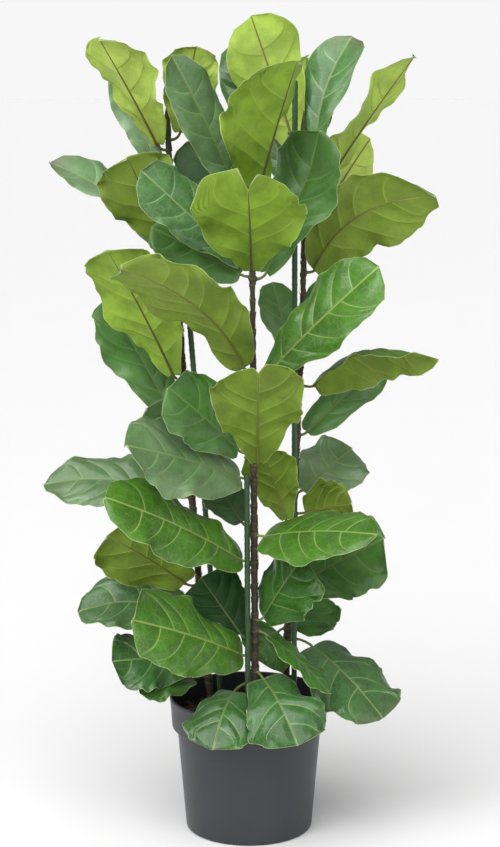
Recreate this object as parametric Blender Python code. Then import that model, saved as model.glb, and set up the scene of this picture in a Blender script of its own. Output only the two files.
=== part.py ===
"""Potted fiddle leaf fig: three staked stems of broad waved leaves in a round nursery pot.

Metres, +Z up, the origin at the middle of the pot's underside. The viewer stands on the -Y side.
"""
import math
from dataclasses import dataclass, replace

import bpy
import bmesh
from mathutils import Quaternion, Vector
from mathutils.bvhtree import BVHTree

# --- driving sizes (metres) -------------------------------------------------------------------
POT_HEIGHT = 0.205
RIM_RADIUS = 0.120
RIM_DEPTH = 0.049
BODY_TOP_RADIUS = 0.1085
BASE_RADIUS = 0.0955
WALL = 0.0020
FLOOR = 0.0035
DRAIN_HOLES = 6
DRAIN_RADIUS = 0.0055
DRAIN_RING = 0.060
SOIL_TOP = 0.180
STEM_FOOT = 0.110
STAKE_FOOT = 0.060
STAKE_RADIUS = 0.0043
SEAT_GAP = 0.0003
BLADE_THICKNESS = 0.0009
PETIOLE_RADIUS = 0.0021
LOBE = 0.0050
CLEARANCE = 0.0012

UP = Vector((0.0, 0.0, 1.0))

# --- stems and stakes -------------------------------------------------------------------------
# Each stem: points it passes through from below the soil to the growing tip.
STEMS = {
    "front": [(0.010, -0.041, 0.110), (0.008, -0.039, 0.400), (0.006, -0.034, 0.700),
              (0.004, -0.025, 0.985)],
    "right": [(0.054, 0.030, 0.110), (0.064, 0.034, 0.420), (0.078, 0.035, 0.750),
              (0.080, 0.031, 1.050)],
    "left": [(-0.050, 0.040, 0.110), (-0.080, 0.044, 0.420), (-0.101, 0.048, 0.740),
             (-0.120, 0.050, 1.060)],
}
STEM_RADIUS_LOW = 0.0058
STEM_RADIUS_HIGH = 0.0036
# Each stake: its foot in the soil and its top.
STAKES = {
    "front": [(-0.001, -0.056, STAKE_FOOT), (-0.003, -0.052, 0.556)],
    "right": [(0.069, 0.015, STAKE_FOOT), (0.0665, 0.018, 1.122)],
    "left": [(-0.033, 0.030, STAKE_FOOT), (-0.098, 0.029, 0.900)],
}


@dataclass
class Leaf:
    """One leaf: where it leaves its stem, where its tip lies and how its blade is held."""

    name: str
    stem: str
    root: float
    tip: tuple
    width: float
    faces: tuple = (0.0, 0.0, 1.0)
    arch: float = 0.03
    fold: float = 12.0
    lean: float = 0.0
    hook: float = 0.0
    notch: float = 0.0
    age: float = 0.5
    wave: float = 1.0
    oval: float = 0.0
    wedge: float = 0.0
    sweep: float = 0.0
    stalk: float = 0.020
    leave: float = 999.0


# `tip` is a point, `faces` the way the upper side looks, `age` runs from 0 (new) to 1 (old).
LEAVES = [
    # lowest leaves, round the pot's rim
    Leaf("low_front_left", "front", 0.236, (-0.052, -0.155, 0.170), 0.104, (-0.1, -0.8, 0.7), 0.19, 4,
         stalk=0.032, leave=180, age=0.8),
    Leaf("low_front_right", "front", 0.254, (0.070, -0.160, 0.178), 0.124, (0.1, -0.8, 0.7), 0.16, 4,
         leave=-60, age=0.7),
    Leaf("low_bright_left", "front", 0.276, (-0.165, -0.185, 0.372), 0.134, (0.2, -1.0, 0.8), 0.05, 4,
         wedge=0.25, oval=0.2, stalk=0.014, age=0.45),
    Leaf("low_right", "right", 0.282, (0.199, -0.062, 0.187), 0.142, (0.2, -0.5, 1.0), 0.12, 2,
         oval=0.4, sweep=0.04, stalk=0.036, leave=25, age=0.85),
    Leaf("low_edge_right", "front", 0.316, (0.119, -0.100, 0.236), 0.070, (0.2, 0.0, 1.0), 0.06, 10,
         oval=0.6, age=0.8),
    Leaf("low_strip_left", "left", 0.222, (-0.164, -0.010, 0.208), 0.066, (0.0, -0.4, 1.0), 0.10, 4,
         oval=0.5, age=1.0),
    Leaf("low_dark_left", "left", 0.250, (-0.207, 0.000, 0.256), 0.118, (0.0, -0.9, 0.8), 0.05, 6,
         oval=0.3, age=1.0),
    Leaf("low_grey_left", "left", 0.315, (-0.260, 0.030, 0.325), 0.115, (0.1, -1.0, 1.0), 0.06, 30,
         oval=0.8, sweep=0.14, age=0.9),
    Leaf("low_shade_centre", "front", 0.300, (-0.072, 0.000, 0.386), 0.100, (0.2, -1.0, 0.4), 0.03, 6,
         age=1.0),
    Leaf("low_shade_right", "right", 0.290, (0.109, 0.150, 0.324), 0.112, (0.0, -1.0, 0.6), 0.03, 6,
         oval=0.6, stalk=0.014, age=1.0),
    Leaf("low_shade_middle", "right", 0.300, (0.010, -0.004, 0.262), 0.100, (0.0, -1.0, 0.2), 0.03, 6,
         oval=0.6, stalk=0.013, age=1.0),
    # lower storey
    Leaf("lower_bright_left", "front", 0.420, (-0.201, -0.185, 0.549), 0.124, (0.3, -0.8, 0.8), 0.05,
         6, wedge=0.3, oval=0.3, stalk=0.014, age=0.5),
    Leaf("lower_bright_right", "front", 0.461, (0.180, -0.165, 0.491), 0.126, (0.0, -0.6, 1.0), 0.05,
         2, wave=0.5, oval=0.9, stalk=0.014, age=0.35),
    Leaf("lower_centre_right", "front", 0.333, (0.083, -0.080, 0.443), 0.150, (-0.2, -1.0, 0.5), 0.03,
         5, wave=1.1, wedge=0.5, oval=0.2, stalk=0.014, leave=-50, age=0.7),
    Leaf("lower_dark_right", "right", 0.368, (0.200, -0.030, 0.454), 0.134, (-0.2, -1.0, 0.6), 0.03, 5,
         wedge=0.3, oval=0.3, stalk=0.013, age=0.85),
    Leaf("lower_olive_left", "left", 0.364, (-0.210, -0.030, 0.459), 0.130, (0.0, 1.0, 0.5), 0.03, 8,
         wedge=0.3, oval=0.2, age=0.6),
    Leaf("lower_grey_left", "left", 0.500, (-0.312, 0.060, 0.516), 0.106, (0.0, -0.8, 1.0), 0.05, 10,
         oval=0.8, sweep=0.10, age=0.9),
    Leaf("lower_olive_centre", "right", 0.462, (0.024, -0.060, 0.575), 0.084, (0.0, 1.0, 0.5), 0.02,
         10, wedge=0.6, leave=-110, stalk=0.024, age=0.4),
    Leaf("lower_olive_right", "right", 0.477, (0.147, 0.000, 0.495), 0.120, (-0.2, 1.0, 0.3), 0.03, 10,
         wedge=0.3, oval=0.4, stalk=0.013, leave=10, age=0.5),
    Leaf("lower_grey_right", "right", 0.508, (0.160, 0.140, 0.556), 0.110, (-0.1, -1.0, 0.8), 0.03, 8,
         wedge=0.3, oval=0.3, stalk=0.013, age=0.85),
    # middle storey
    Leaf("mid_front", "front", 0.566, (0.013, -0.195, 0.726), 0.130, (0.0, 1.0, 0.8), 0.02, 10,
         wave=1.1, notch=0.1, wedge=0.95, leave=-70, age=0.35),
    Leaf("mid_grey_left", "front", 0.545, (-0.173, -0.145, 0.615), 0.136, (0.0, -0.8, 1.0), 0.04, 6,
         wedge=0.4, oval=0.4, stalk=0.016, age=0.9),
    Leaf("mid_small_left", "left", 0.545, (-0.150, -0.050, 0.652), 0.095, (0.2, -1.0, 0.5), 0.03, 8,
         wedge=0.4, oval=0.3, age=0.85),
    Leaf("mid_folded_left", "front", 0.582, (-0.115, -0.110, 0.692), 0.110, (0.1, -1.0, 0.6), 0.05, 16,
         wedge=0.5, oval=0.2, age=0.75),
    Leaf("mid_olive_left", "front", 0.706, (-0.177, -0.165, 0.867), 0.152, (0.3, 1.0, 0.3), 0.02, 16,
         wave=1.2, wedge=0.6, lean=24, oval=0.35, sweep=-0.14, stalk=0.017, leave=-120, age=0.25),
    Leaf("mid_bright_right", "front", 0.690, (0.183, -0.100, 0.863), 0.108, (-0.5, -1.0, 0.5), 0.04,
         10, wedge=0.7, oval=0.2, stalk=0.014, leave=10, age=0.55),
    Leaf("mid_level_right", "right", 0.672, (0.275, -0.030, 0.717), 0.100, (0.0, 0.65, 0.85), 0.14,
         -34, oval=1.0, sweep=0.23, stalk=0.018, age=0.5),
    Leaf("mid_dark_right", "right", 0.597, (0.217, 0.100, 0.711), 0.072, (-0.5, -1.0, 0.4), 0.03, 8,
         oval=0.6, stalk=0.013, age=0.9),
    Leaf("mid_long_left", "left", 0.680, (-0.203, -0.060, 0.884), 0.130, (0.3, 0.8, 0.4), 0.03, 18,
         wave=1.2, wedge=0.7, oval=0.2, age=0.15),
    Leaf("mid_dark_left", "left", 0.612, (-0.217, 0.095, 0.795), 0.110, (0.4, -0.8, 0.5), 0.03, 10,
         wedge=0.4, oval=0.3, age=0.8),
    Leaf("mid_back_centre", "right", 0.690, (0.035, 0.115, 0.819), 0.064, (0.4, -1.0, 0.4), 0.03, 8,
         wedge=0.6, age=0.9),
    Leaf("mid_back_right", "right", 0.705, (0.106, 0.150, 0.820), 0.062, (0.0, -1.0, 0.3), 0.02, 8,
         wedge=0.6, age=0.7),
    Leaf("mid_shade_left", "front", 0.470, (-0.050, 0.010, 0.530), 0.070, (0.2, -1.0, 0.5), 0.02, 8,
         age=0.8),
    # upper storey
    Leaf("upper_heart", "front", 0.846, (-0.001, -0.190, 0.977), 0.158, (0.0, 1.0, 0.9), 0.03, 12,
         wave=1.2, wedge=0.95, notch=0.2, age=0.2),
    Leaf("upper_right", "right", 0.842, (0.267, -0.040, 0.960), 0.134, (-0.2, 1.0, 0.35), 0.02, 8,
         wave=1.2, wedge=0.4, oval=0.6, sweep=0.22, stalk=0.013, age=0.3),
    Leaf("upper_dark_fold", "front", 0.838, (0.112, -0.020, 1.045), 0.120, (-0.5, -1.0, 0.4), 0.02, 14,
         wedge=0.7, hook=-0.12, age=0.8),
    Leaf("upper_left", "left", 0.864, (-0.295, 0.060, 1.001), 0.096, (0.1, -1.0, 1.0), 0.03, 30,
         lean=-24, wedge=0.3, oval=0.6, sweep=0.12, age=0.7),
    Leaf("upper_olive_left", "left", 0.880, (-0.187, -0.030, 1.014), 0.128, (0.3, 1.0, 0.2), 0.02, 10,
         wedge=0.5, oval=0.3, age=0.4),
    Leaf("upper_pale_left", "front", 0.856, (-0.151, -0.100, 0.998), 0.088, (0.3, -1.0, 0.5), 0.02, 10,
         wedge=0.6, age=0.55),
    Leaf("upper_dark_left", "front", 0.842, (-0.140, -0.040, 0.914), 0.096, (0.0, -1.0, 0.6), 0.03, 8,
         wedge=0.3, oval=0.4, stalk=0.014, age=0.95),
    Leaf("upper_pale_right", "right", 0.900, (0.183, 0.135, 1.034), 0.075, (-0.4, 1.0, 0.4), 0.02, 10,
         wedge=0.5, age=0.05),
    Leaf("upper_shade_left", "front", 0.925, (-0.092, 0.050, 1.030), 0.100, (0.2, -1.0, 0.2), 0.02, 8,
         oval=0.5, stalk=0.014, leave=150, age=0.9),
    # crown
    Leaf("crown_centre", "front", 0.955, (0.066, -0.140, 1.150), 0.190, (-0.4, 1.0, 0.1), 0.02, 40,
         wedge=0.6, lean=-42, oval=0.3, age=0.15),
    Leaf("crown_left", "left", 1.020, (-0.213, -0.020, 1.180), 0.136, (0.5, 0.8, 0.4), 0.02, 22,
         wedge=0.8, lean=20, oval=0.2, age=0.0),
    Leaf("crown_pale_left", "left", 0.985, (-0.201, 0.070, 1.135), 0.054, (0.3, -1.0, 0.2), 0.02, 12,
         wedge=0.2, oval=0.5, leave=170, age=0.7),
    Leaf("crown_dark_left", "front", 0.950, (-0.108, -0.075, 1.157), 0.080, (0.4, -1.0, 0.3), 0.03, 12,
         wedge=0.3, oval=0.5, age=0.85),
    Leaf("crown_back_left", "left", 1.035, (-0.077, 0.030, 1.170), 0.086, (-0.2, 1.0, 0.2), 0.02, 10,
         leave=-20, wedge=0.6, oval=0.2, age=0.05),
    Leaf("crown_top", "right", 1.010, (0.003, 0.115, 1.215), 0.112, (0.0, 1.0, 0.3), 0.02, 8, wave=1.5,
         wedge=0.6, leave=120, age=0.0),
    Leaf("crown_blue_right", "right", 1.005, (0.149, 0.100, 1.185), 0.084, (-0.2, -1.0, 0.3), 0.02, 22,
         lean=18, wedge=0.8, sweep=-0.1, leave=30, age=0.6),
    Leaf("crown_narrow_right", "right", 0.945, (0.236, -0.020, 1.156), 0.104, (-0.7, 0.7, 0.5), 0.02,
         24, lean=-18, wave=1.3, wedge=0.3, oval=0.5, age=0.1),
    Leaf("crown_light_right", "right", 0.985, (0.087, 0.145, 1.154), 0.090, (0.0, 1.0, 0.2), 0.02, 8,
         wedge=0.4, leave=80, age=0.0),
    Leaf("crown_sliver", "right", 0.950, (-0.022, 0.130, 1.179), 0.090, (0.3, -1.0, 0.3), 0.02, 14,
         wedge=0.5, leave=130, age=0.6),
]

# Blade outlines: share of the length, and of the half width. A fiddle leaf has a narrow waist low
# down and is broadest high up; an oval one is broadest in the middle and drawn out to its tip; a
# wedge widens steadily from its stalk.
SHARES = (0.0, 0.05, 0.15, 0.30, 0.46, 0.62, 0.76, 0.88, 0.96, 1.0)
FIDDLE = [(0.0, 0.16), (0.05, 0.42), (0.15, 0.56), (0.30, 0.66), (0.46, 0.81), (0.62, 0.96), (0.76, 0.99),
          (0.88, 0.83), (0.96, 0.52), (1.0, 0.14)]
OVAL = [(0.0, 0.24), (0.05, 0.54), (0.15, 0.76), (0.30, 0.93), (0.46, 1.0), (0.62, 0.94), (0.76, 0.78),
        (0.88, 0.53), (0.96, 0.27), (1.0, 0.06)]
WEDGE = [(0.0, 0.10), (0.05, 0.20), (0.15, 0.38), (0.30, 0.62), (0.46, 0.85), (0.62, 0.98), (0.76, 1.0),
         (0.88, 0.86), (0.96, 0.56), (1.0, 0.18)]
ACROSS = (-1.0, -0.5, 0.0, 0.5, 1.0)


def lerp_table(table, t):
    """Value at t in a list of (t, value) pairs, straight between them."""
    for (t0, v0), (t1, v1) in zip(table, table[1:]):
        if t <= t1:
            f = (t - t0) / (t1 - t0)
            return v0 + (v1 - v0) * f
    return table[-1][1]


def path_point(points, z):
    """Point of a rising curve through four points at height z (cubic by height)."""
    x = 0.0
    y = 0.0
    for i, p in enumerate(points):
        share = 1.0
        for j, q in enumerate(points):
            if i != j:
                share *= (z - q[2]) / (p[2] - q[2])
        x += p[0] * share
        y += p[1] * share
    return Vector((x, y, z))


def stake_point(ends, z):
    """Point of a straight stake at height z."""
    a = Vector(ends[0])
    b = Vector(ends[1])
    return a + (b - a) * ((z - a.z) / (b.z - a.z))


def stem_radius(name, z):
    """Stem radius at height z: it thins towards the growing tip."""
    top = STEMS[name][-1][2]
    f = (z - STEM_FOOT) / (top - STEM_FOOT)
    return STEM_RADIUS_LOW + (STEM_RADIUS_HIGH - STEM_RADIUS_LOW) * f


# --- leaf -------------------------------------------------------------------------------------
def leaf_root(leaf):
    """Where the leaf stalk meets its stem, and the level direction it leaves in."""
    centre = path_point(STEMS[leaf.stem], leaf.root)
    aim = Vector(leaf.tip) - centre
    heading = math.atan2(aim.y, aim.x)
    stake = stake_point(STAKES[leaf.stem], min(leaf.root, STAKES[leaf.stem][1][2]))
    if leaf.leave < 900.0:
        heading = math.radians(leaf.leave)
    elif leaf.root < STAKES[leaf.stem][1][2] + 0.03:
        away = math.atan2(stake.y - centre.y, stake.x - centre.x)
        side = (heading - away + math.pi) % (2 * math.pi) - math.pi
        least = math.radians(62)
        if abs(side) < least:
            heading = away + math.copysign(least, side)
    out = Vector((math.cos(heading), math.sin(heading), 0.0))
    reach = stem_radius(leaf.stem, leaf.root) + SEAT_GAP
    return centre + out * reach, out


def leaf_axes(leaf):
    """Start of the blade, its end, and its side and upper directions."""
    root, out = leaf_root(leaf)
    tip = Vector(leaf.tip)
    aim = (tip - root).normalized()
    start = root + (out * 0.6 + aim * 0.7).normalized() * leaf.stalk
    along = (tip - start).normalized()
    face = Vector(leaf.faces)
    face = (face - along * face.dot(along)).normalized()
    side = along.cross(face).normalized()
    return root, out, start, tip, side, face


def spine(leaf, t):
    """Point and direction of the midrib at share t of the blade."""
    root, out, start, tip, side, face = leaf_axes(leaf)
    span = tip - start
    length = span.length
    rise = face * (leaf.arch * length) + side * (leaf.sweep * length)
    p1 = start + span * 0.33 + rise
    p2 = start + span * 0.67 + rise
    s = 1.0 - t
    point = start * s ** 3 + p1 * (3 * s * s * t) + p2 * (3 * s * t * t) + tip * t ** 3
    slope = (p1 - start) * (3 * s * s) + (p2 - p1) * (6 * s * t) + (tip - p2) * (3 * t * t)
    if leaf.hook and t > 0.6:
        bend = (t - 0.6) / 0.4
        point -= face * (leaf.hook * length * bend * bend)
        slope -= face * (leaf.hook * length * 2 * bend / 0.4)
    return point, slope.normalized(), side, face, length


def phase_of(leaf):
    """A steady number for each leaf, so that no two are waved alike."""
    return sum(ord(c) * (i + 3) for i, c in enumerate(leaf.name)) % 97 / 97.0 * 2 * math.pi


def blade_point(leaf, t, u, swell, frame):
    """Point of the blade's middle surface at share t along and u across (-1 to 1), and its normal."""
    point, slope, side, _, length = frame
    normal = side.cross(slope).normalized()
    half = leaf.width * 0.5 + swell
    half *= (lerp_table(FIDDLE, t) * (1.0 - leaf.oval - leaf.wedge) + lerp_table(OVAL, t) * leaf.oval
             + lerp_table(WEDGE, t) * leaf.wedge)
    phase = phase_of(leaf)
    edge = abs(u)
    hand = 1.0 if u > 0 else -1.0
    scallop = 1.0 + 0.045 * leaf.wave * math.sin(t * 15.0 + phase + hand * 1.3) * edge
    fold = math.radians(leaf.fold + hand * leaf.lean * min(1.0, t * 4.0)) * (1.0 - 0.35 * t)
    out = half * edge * scallop
    across = side * (hand * out * math.cos(fold))
    lift = normal * (out * math.sin(fold))
    ripple = 0.055 * leaf.width * leaf.wave * edge * edge
    ripple *= math.sin(t * 13.0 + phase * 2.0 + hand * 0.9) * min(1.0, t * 4.0)
    droop = 0.10 * leaf.width * edge * edge * math.sin(math.pi * t)
    lobe = min(0.030 * length, LOBE) * min(1.0, leaf.stalk / 0.020)
    back = slope * (-lobe * edge ** 1.5 * max(0.0, 1.0 - t / 0.16))
    crest = slope * (leaf.notch * length * edge * max(0.0, (t - 0.8) / 0.2))
    return point + across + lift + normal * (ripple - droop) + back + crest, normal


def loft(rings):
    """Closed body through rings of equal count; the last point of a ring joins its first."""
    count = len(rings[0])
    verts = [v for ring in rings for v in ring]
    faces = []
    for k in range(len(rings) - 1):
        a = k * count
        b = a + count
        for i in range(count):
            j = (i + 1) % count
            faces.append((a + i, b + i, b + j))
            faces.append((a + i, b + j, a + j))
    last = (len(rings) - 1) * count
    faces.append(tuple(range(count)))
    faces.append(tuple(reversed(range(last, last + count))))
    return verts, faces


def stalk_rings(leaf, count, swell):
    """Rings of the round leaf stalk, turned step by step from blade to stem without a twist."""
    root, out, start, _, side, _ = leaf_axes(leaf)
    along = spine(leaf, 0.0)[1]
    middle = root + out * (leaf.stalk * 0.34) + (start - root) * 0.16
    neck = min(0.006, leaf.stalk * 0.25)
    stations = [
        (start - along * neck, along, 1.0),
        (middle, (out + along).normalized(), 0.9),
        (root, out, 1.15),
    ]
    rings = []
    level = (side - along * side.dot(along)).normalized()
    last = along
    for centre, slope, size in stations:
        level = last.rotation_difference(slope) @ level
        normal = level.cross(slope).normalized()
        radius = PETIOLE_RADIUS * size + swell
        ring = []
        for k in list(range(count)) + list(range(2 * count - 1, count - 1, -1)):
            angle = math.radians(165.0 - 150.0 * (k % count) / (count - 1))
            hand = 1.0 if k < count else -1.0
            rise = radius * hand * math.sin(angle)
            ring.append(centre + level * (radius * math.cos(angle)) + normal * rise)
        rings.append(ring)
        last = slope
    return rings[::-1]


def leaf_rings(leaf, shares, across, swell=0.0, skip=0):
    """Rings of a leaf from stalk to tip: upper points left to right, then lower ones back."""
    rings = stalk_rings(leaf, len(across), swell)[skip:]
    for t in shares:
        frame = spine(leaf, t)
        upper = []
        lower = []
        for u in across:
            p, normal = blade_point(leaf, t, u, swell, frame)
            rib = 0.0020 * (1.0 - t) if abs(u) < 1e-6 else 0.0
            half = BLADE_THICKNESS * 0.5 + swell
            upper.append(p + normal * half)
            lower.append(p - normal * (half + rib))
        rings.append(upper + lower[::-1])
    return rings


def leaf_body(leaf, swell=0.0, skip=0):
    """Corner points and faces of one leaf."""
    rings = leaf_rings(leaf, SHARES, ACROSS, swell, skip)
    count = len(ACROSS)
    size = 2 * count
    verts = [v for ring in rings for v in ring]
    faces = []
    for k in range(len(rings) - 1):
        a = k * size
        b = a + size
        for i in range(count - 1):
            low = size - 1 - i
            faces.append((a + i, a + i + 1, b + i + 1))
            faces.append((a + i, b + i + 1, b + i))
            faces.append((a + low, b + low - 1, a + low - 1))
            faces.append((a + low, b + low, b + low - 1))
        faces.append((a, b, b + size - 1))
        faces.append((a, b + size - 1, a + size - 1))
        faces.append((a + count - 1, a + count, b + count))
        faces.append((a + count - 1, b + count, b + count - 1))
    last = (len(rings) - 1) * size
    for i in range(count - 1):
        low = size - 1 - i
        faces.append((i, low, low - 1))
        faces.append((i, low - 1, i + 1))
        faces.append((last + i, last + low - 1, last + low))
        faces.append((last + i, last + i + 1, last + low - 1))
    return verts, faces


def nudged(leaf, swing, lift, twist):
    """The leaf turned about its root by small angles in degrees."""
    root, _ = leaf_root(leaf)
    arm = Vector(leaf.tip) - root
    heading = Vector((arm.x, arm.y, 0.0)).normalized()
    turn = Quaternion(UP, math.radians(swing)) @ Quaternion(heading.cross(UP), math.radians(lift))
    arm = turn @ arm
    face = Quaternion(arm.normalized(), math.radians(twist)) @ (turn @ Vector(leaf.faces))
    return replace(leaf, tip=tuple(root + arm), faces=tuple(face))


def nudge_steps(leaf):
    """Small turns to try, the least seen from the front first."""
    root, _ = leaf_root(leaf)
    tip = Vector(leaf.tip)
    steps = []
    for swing in range(-27, 28, 3):
        for lift in range(-15, 16, 3):
            for twist in (-30, -20, -10, 0, 10, 20, 30):
                moved = Vector(nudged(leaf, swing, lift, 0).tip) - tip
                cost = abs(moved.x) + abs(moved.z) + 0.35 * abs(moved.y) + 0.0007 * abs(twist)
                steps.append((round(cost, 6), swing, lift, twist))
    steps.sort()
    return steps


def tree_of(body):
    """Search tree of a body's faces."""
    verts, faces = body
    return BVHTree.FromPolygons([v[:] for v in verts], faces, all_triangles=False, epsilon=0.0)


def hang_clear(leaves, fixed):
    """Turn each leaf a little, where it must be, so that it hangs clear of all set before it."""
    placed = list(fixed)
    result = []
    for leaf in leaves:
        best = None
        for _, swing, lift, twist in nudge_steps(leaf):
            trial = nudged(leaf, swing, lift, twist)
            wide = tree_of(leaf_body(trial, CLEARANCE, 1))
            if any(wide.overlap(other) for other in placed):
                continue
            own = tree_of(leaf_body(trial))
            if any(own.overlap(other) for other in placed):
                continue
            best = trial
            if (swing, lift, twist) != (0, 0, 0):
                print("leaf", leaf.name, "turned by", swing, lift, twist)
            break
        if best is None:
            print("leaf", leaf.name, "NOT CLEAR")
            best = leaf
        placed.append(tree_of(leaf_body(best)))
        result.append(best)
    return result


# --- other pieces -----------------------------------------------------------------------------
def round_ring(centre, slope, radius, sides, start=0.0):
    """Ring of points about a centre, square to a direction."""
    level = Vector((1.0, 0.0, 0.0))
    level = (level - slope * level.dot(slope)).normalized()
    other = slope.cross(level).normalized()
    ring = []
    for i in range(sides):
        a = start + 2 * math.pi * i / sides
        ring.append(centre + level * (radius * math.cos(a)) + other * (radius * math.sin(a)))
    return ring


def stem_body(name, extra=0.0, foot=STEM_FOOT, top=None):
    """Leaning tapered stem that ends in a pointed leaf bud."""
    points = STEMS[name]
    high = points[-1][2]
    heights = [foot, 0.150, 0.200, 0.260, 0.330, 0.410, 0.500, 0.590, 0.680, 0.770, 0.860, high - 0.08]
    bud = [(high - 0.030, 1.0), (high - 0.012, 1.45), (high + 0.006, 1.15), (high + 0.020, 0.55),
           (high + 0.028, 0.15)]
    if top:
        heights = [h for h in heights if h < top] + [top]
        bud = []
    rings = []
    for z in heights:
        slope = (path_point(points, z + 0.004) - path_point(points, z - 0.004)).normalized()
        rings.append(round_ring(path_point(points, z), slope, stem_radius(name, z) + extra, 10))
    for z, size in bud:
        centre = path_point(points, min(z, high))
        centre.z = z
        rings.append(round_ring(centre, UP, stem_radius(name, high) * size, 10))
    return loft(rings)


def stake_body(name, extra=0.0, foot=0.0, top=None):
    """Straight round stake with a softened top edge."""
    ends = STAKES[name]
    slope = (Vector(ends[1]) - Vector(ends[0])).normalized()
    low = stake_point(ends, STAKE_FOOT - foot)
    radius = STAKE_RADIUS + extra
    if top:
        return loft([round_ring(centre, slope, radius, 12) for centre in (low, stake_point(ends, top))])
    high = Vector(ends[1])
    rings = [round_ring(low, slope, radius, 12),
             round_ring(high - slope * 0.0012, slope, radius, 12),
             round_ring(high, slope, radius * 0.72, 12)]
    return loft(rings)


def turned_body(profile, sides):
    """Body of revolution about Z from (radius, height) points; flat discs close both its ends."""
    verts = []
    for radius, z in profile:
        for i in range(sides):
            a = 2 * math.pi * i / sides
            verts.append(Vector((radius * math.cos(a), radius * math.sin(a), z)))
    faces = [tuple(reversed(range(sides)))]
    for k in range(len(profile) - 1):
        low = k * sides
        high = low + sides
        for i in range(sides):
            j = (i + 1) % sides
            faces.append((low + i, low + j, high + j, high + i))
    last = (len(profile) - 1) * sides
    faces.append(tuple(range(last, last + sides)))
    return verts, faces


def pot_profile():
    """Outline of the pot from the middle of its underside, up the outside and down inside."""
    step = POT_HEIGHT - RIM_DEPTH
    return [
        (BASE_RADIUS - 0.0035, 0.0),
        (BASE_RADIUS - 0.0010, 0.0010),
        (BASE_RADIUS, 0.0035),
        (BODY_TOP_RADIUS, step),
        (RIM_RADIUS - 0.0050, step + 0.0010),
        (RIM_RADIUS - 0.0036, step + 0.0030),
        (RIM_RADIUS - 0.0005, POT_HEIGHT - 0.0060),
        (RIM_RADIUS, POT_HEIGHT - 0.0015),
        (RIM_RADIUS - 0.0010, POT_HEIGHT),
        (RIM_RADIUS - 0.0026, POT_HEIGHT),
        (RIM_RADIUS - 0.0034, POT_HEIGHT - 0.0015),
        (RIM_RADIUS - 0.0062, step + 0.0045),
        (BODY_TOP_RADIUS - WALL, step + 0.0030),
        (BASE_RADIUS - 0.0022, 0.0075),
        (BASE_RADIUS - 0.0062, FLOOR),
    ]


def soil_profile():
    """Outline of the potting soil, a little lower at the wall than in the middle."""
    step = POT_HEIGHT - RIM_DEPTH
    gap = SEAT_GAP + 0.0003
    return [
        (BASE_RADIUS - 0.0075, FLOOR + SEAT_GAP),
        (BASE_RADIUS - 0.0030, 0.0085),
        (BODY_TOP_RADIUS - WALL - gap, step + 0.0034),
        (RIM_RADIUS - 0.0062 - gap, step + 0.0049),
        (RIM_RADIUS - 0.0050 - gap, SOIL_TOP - 0.004),
        (0.100, SOIL_TOP + 0.001),
        (0.078, SOIL_TOP - 0.001),
        (0.050, SOIL_TOP + 0.002),
        (0.024, SOIL_TOP + 0.001),
    ]


# --- objects ----------------------------------------------------------------------------------
def material(name, colour, roughness):
    """Principled material with one plain colour."""
    mat = bpy.data.materials.new(name)
    mat.use_nodes = True
    shader = mat.node_tree.nodes["Principled BSDF"]
    shader.inputs["Base Color"].default_value = (*colour, 1.0)
    shader.inputs["Roughness"].default_value = roughness
    return mat


def add_object(name, body, colour, roughness, smooth=True):
    """Mesh object from corner points and faces, its faces turned outwards."""
    verts, faces = body
    mesh = bpy.data.meshes.new(name)
    mesh.from_pydata([v[:] for v in verts], [], faces)
    work = bmesh.new()
    work.from_mesh(mesh)
    bmesh.ops.recalc_face_normals(work, faces=work.faces)
    if work.calc_volume(signed=True) < 0.0:
        bmesh.ops.reverse_faces(work, faces=work.faces)
    work.to_mesh(mesh)
    work.free()
    for poly in mesh.polygons:
        poly.use_smooth = smooth
    mesh.update()
    obj = bpy.data.objects.new(name, mesh)
    bpy.context.scene.collection.objects.link(obj)
    obj.data.materials.append(material(name, colour, roughness))
    return obj


def cut(target, name, body):
    """Take a hidden cutter's shape out of the target."""
    cutter = add_object(name, body, (0.5, 0.5, 0.5), 0.5, smooth=False)
    cutter.hide_render = True
    cutter.display_type = "WIRE"
    mod = target.modifiers.new(name, "BOOLEAN")
    mod.operation = "DIFFERENCE"
    mod.solver = "EXACT"
    mod.object = cutter


def leaf_colour(age):
    """Leaf colour from bright new green to dark old green."""
    new = (0.36, 0.50, 0.06)
    old = (0.05, 0.13, 0.04)
    return tuple(a + (b - a) * age for a, b in zip(new, old))


def build():
    """Make every piece of the potted plant."""
    for obj in list(bpy.data.objects):
        bpy.data.objects.remove(obj, do_unlink=True)

    pot = add_object("pot", turned_body(pot_profile(), 56), (0.05, 0.052, 0.057), 0.45)
    for i in range(DRAIN_HOLES):
        a = 2 * math.pi * (i + 0.3) / DRAIN_HOLES
        centre = Vector((DRAIN_RING * math.cos(a), DRAIN_RING * math.sin(a), -0.003))
        rings = [round_ring(centre + UP * rise, UP, DRAIN_RADIUS, 12) for rise in (0.0, 0.010)]
        cut(pot, "drain_cutter_%d" % (i + 1), loft(rings))

    soil = add_object("soil", turned_body(soil_profile(), 40), (0.035, 0.022, 0.014), 0.95)
    for name in STEMS:
        cut(soil, "stem_hole_cutter_" + name, stem_body(name, SEAT_GAP, STEM_FOOT - SEAT_GAP, 0.215))
        cut(soil, "stake_hole_cutter_" + name, stake_body(name, SEAT_GAP, SEAT_GAP, 0.215))

    fixed = [turned_body(pot_profile(), 56), turned_body(soil_profile(), 40)]
    for name in STEMS:
        stem = stem_body(name)
        stake = stake_body(name)
        add_object("stem_" + name, stem, (0.10, 0.075, 0.045), 0.8)
        add_object("stake_" + name, stake, (0.04, 0.12, 0.06), 0.5)
        fixed += [stem, stake]

    for leaf in hang_clear(LEAVES, [tree_of(body) for body in fixed]):
        add_object("leaf_" + leaf.name, leaf_body(leaf), leaf_colour(leaf.age), 0.4)


build()
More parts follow.
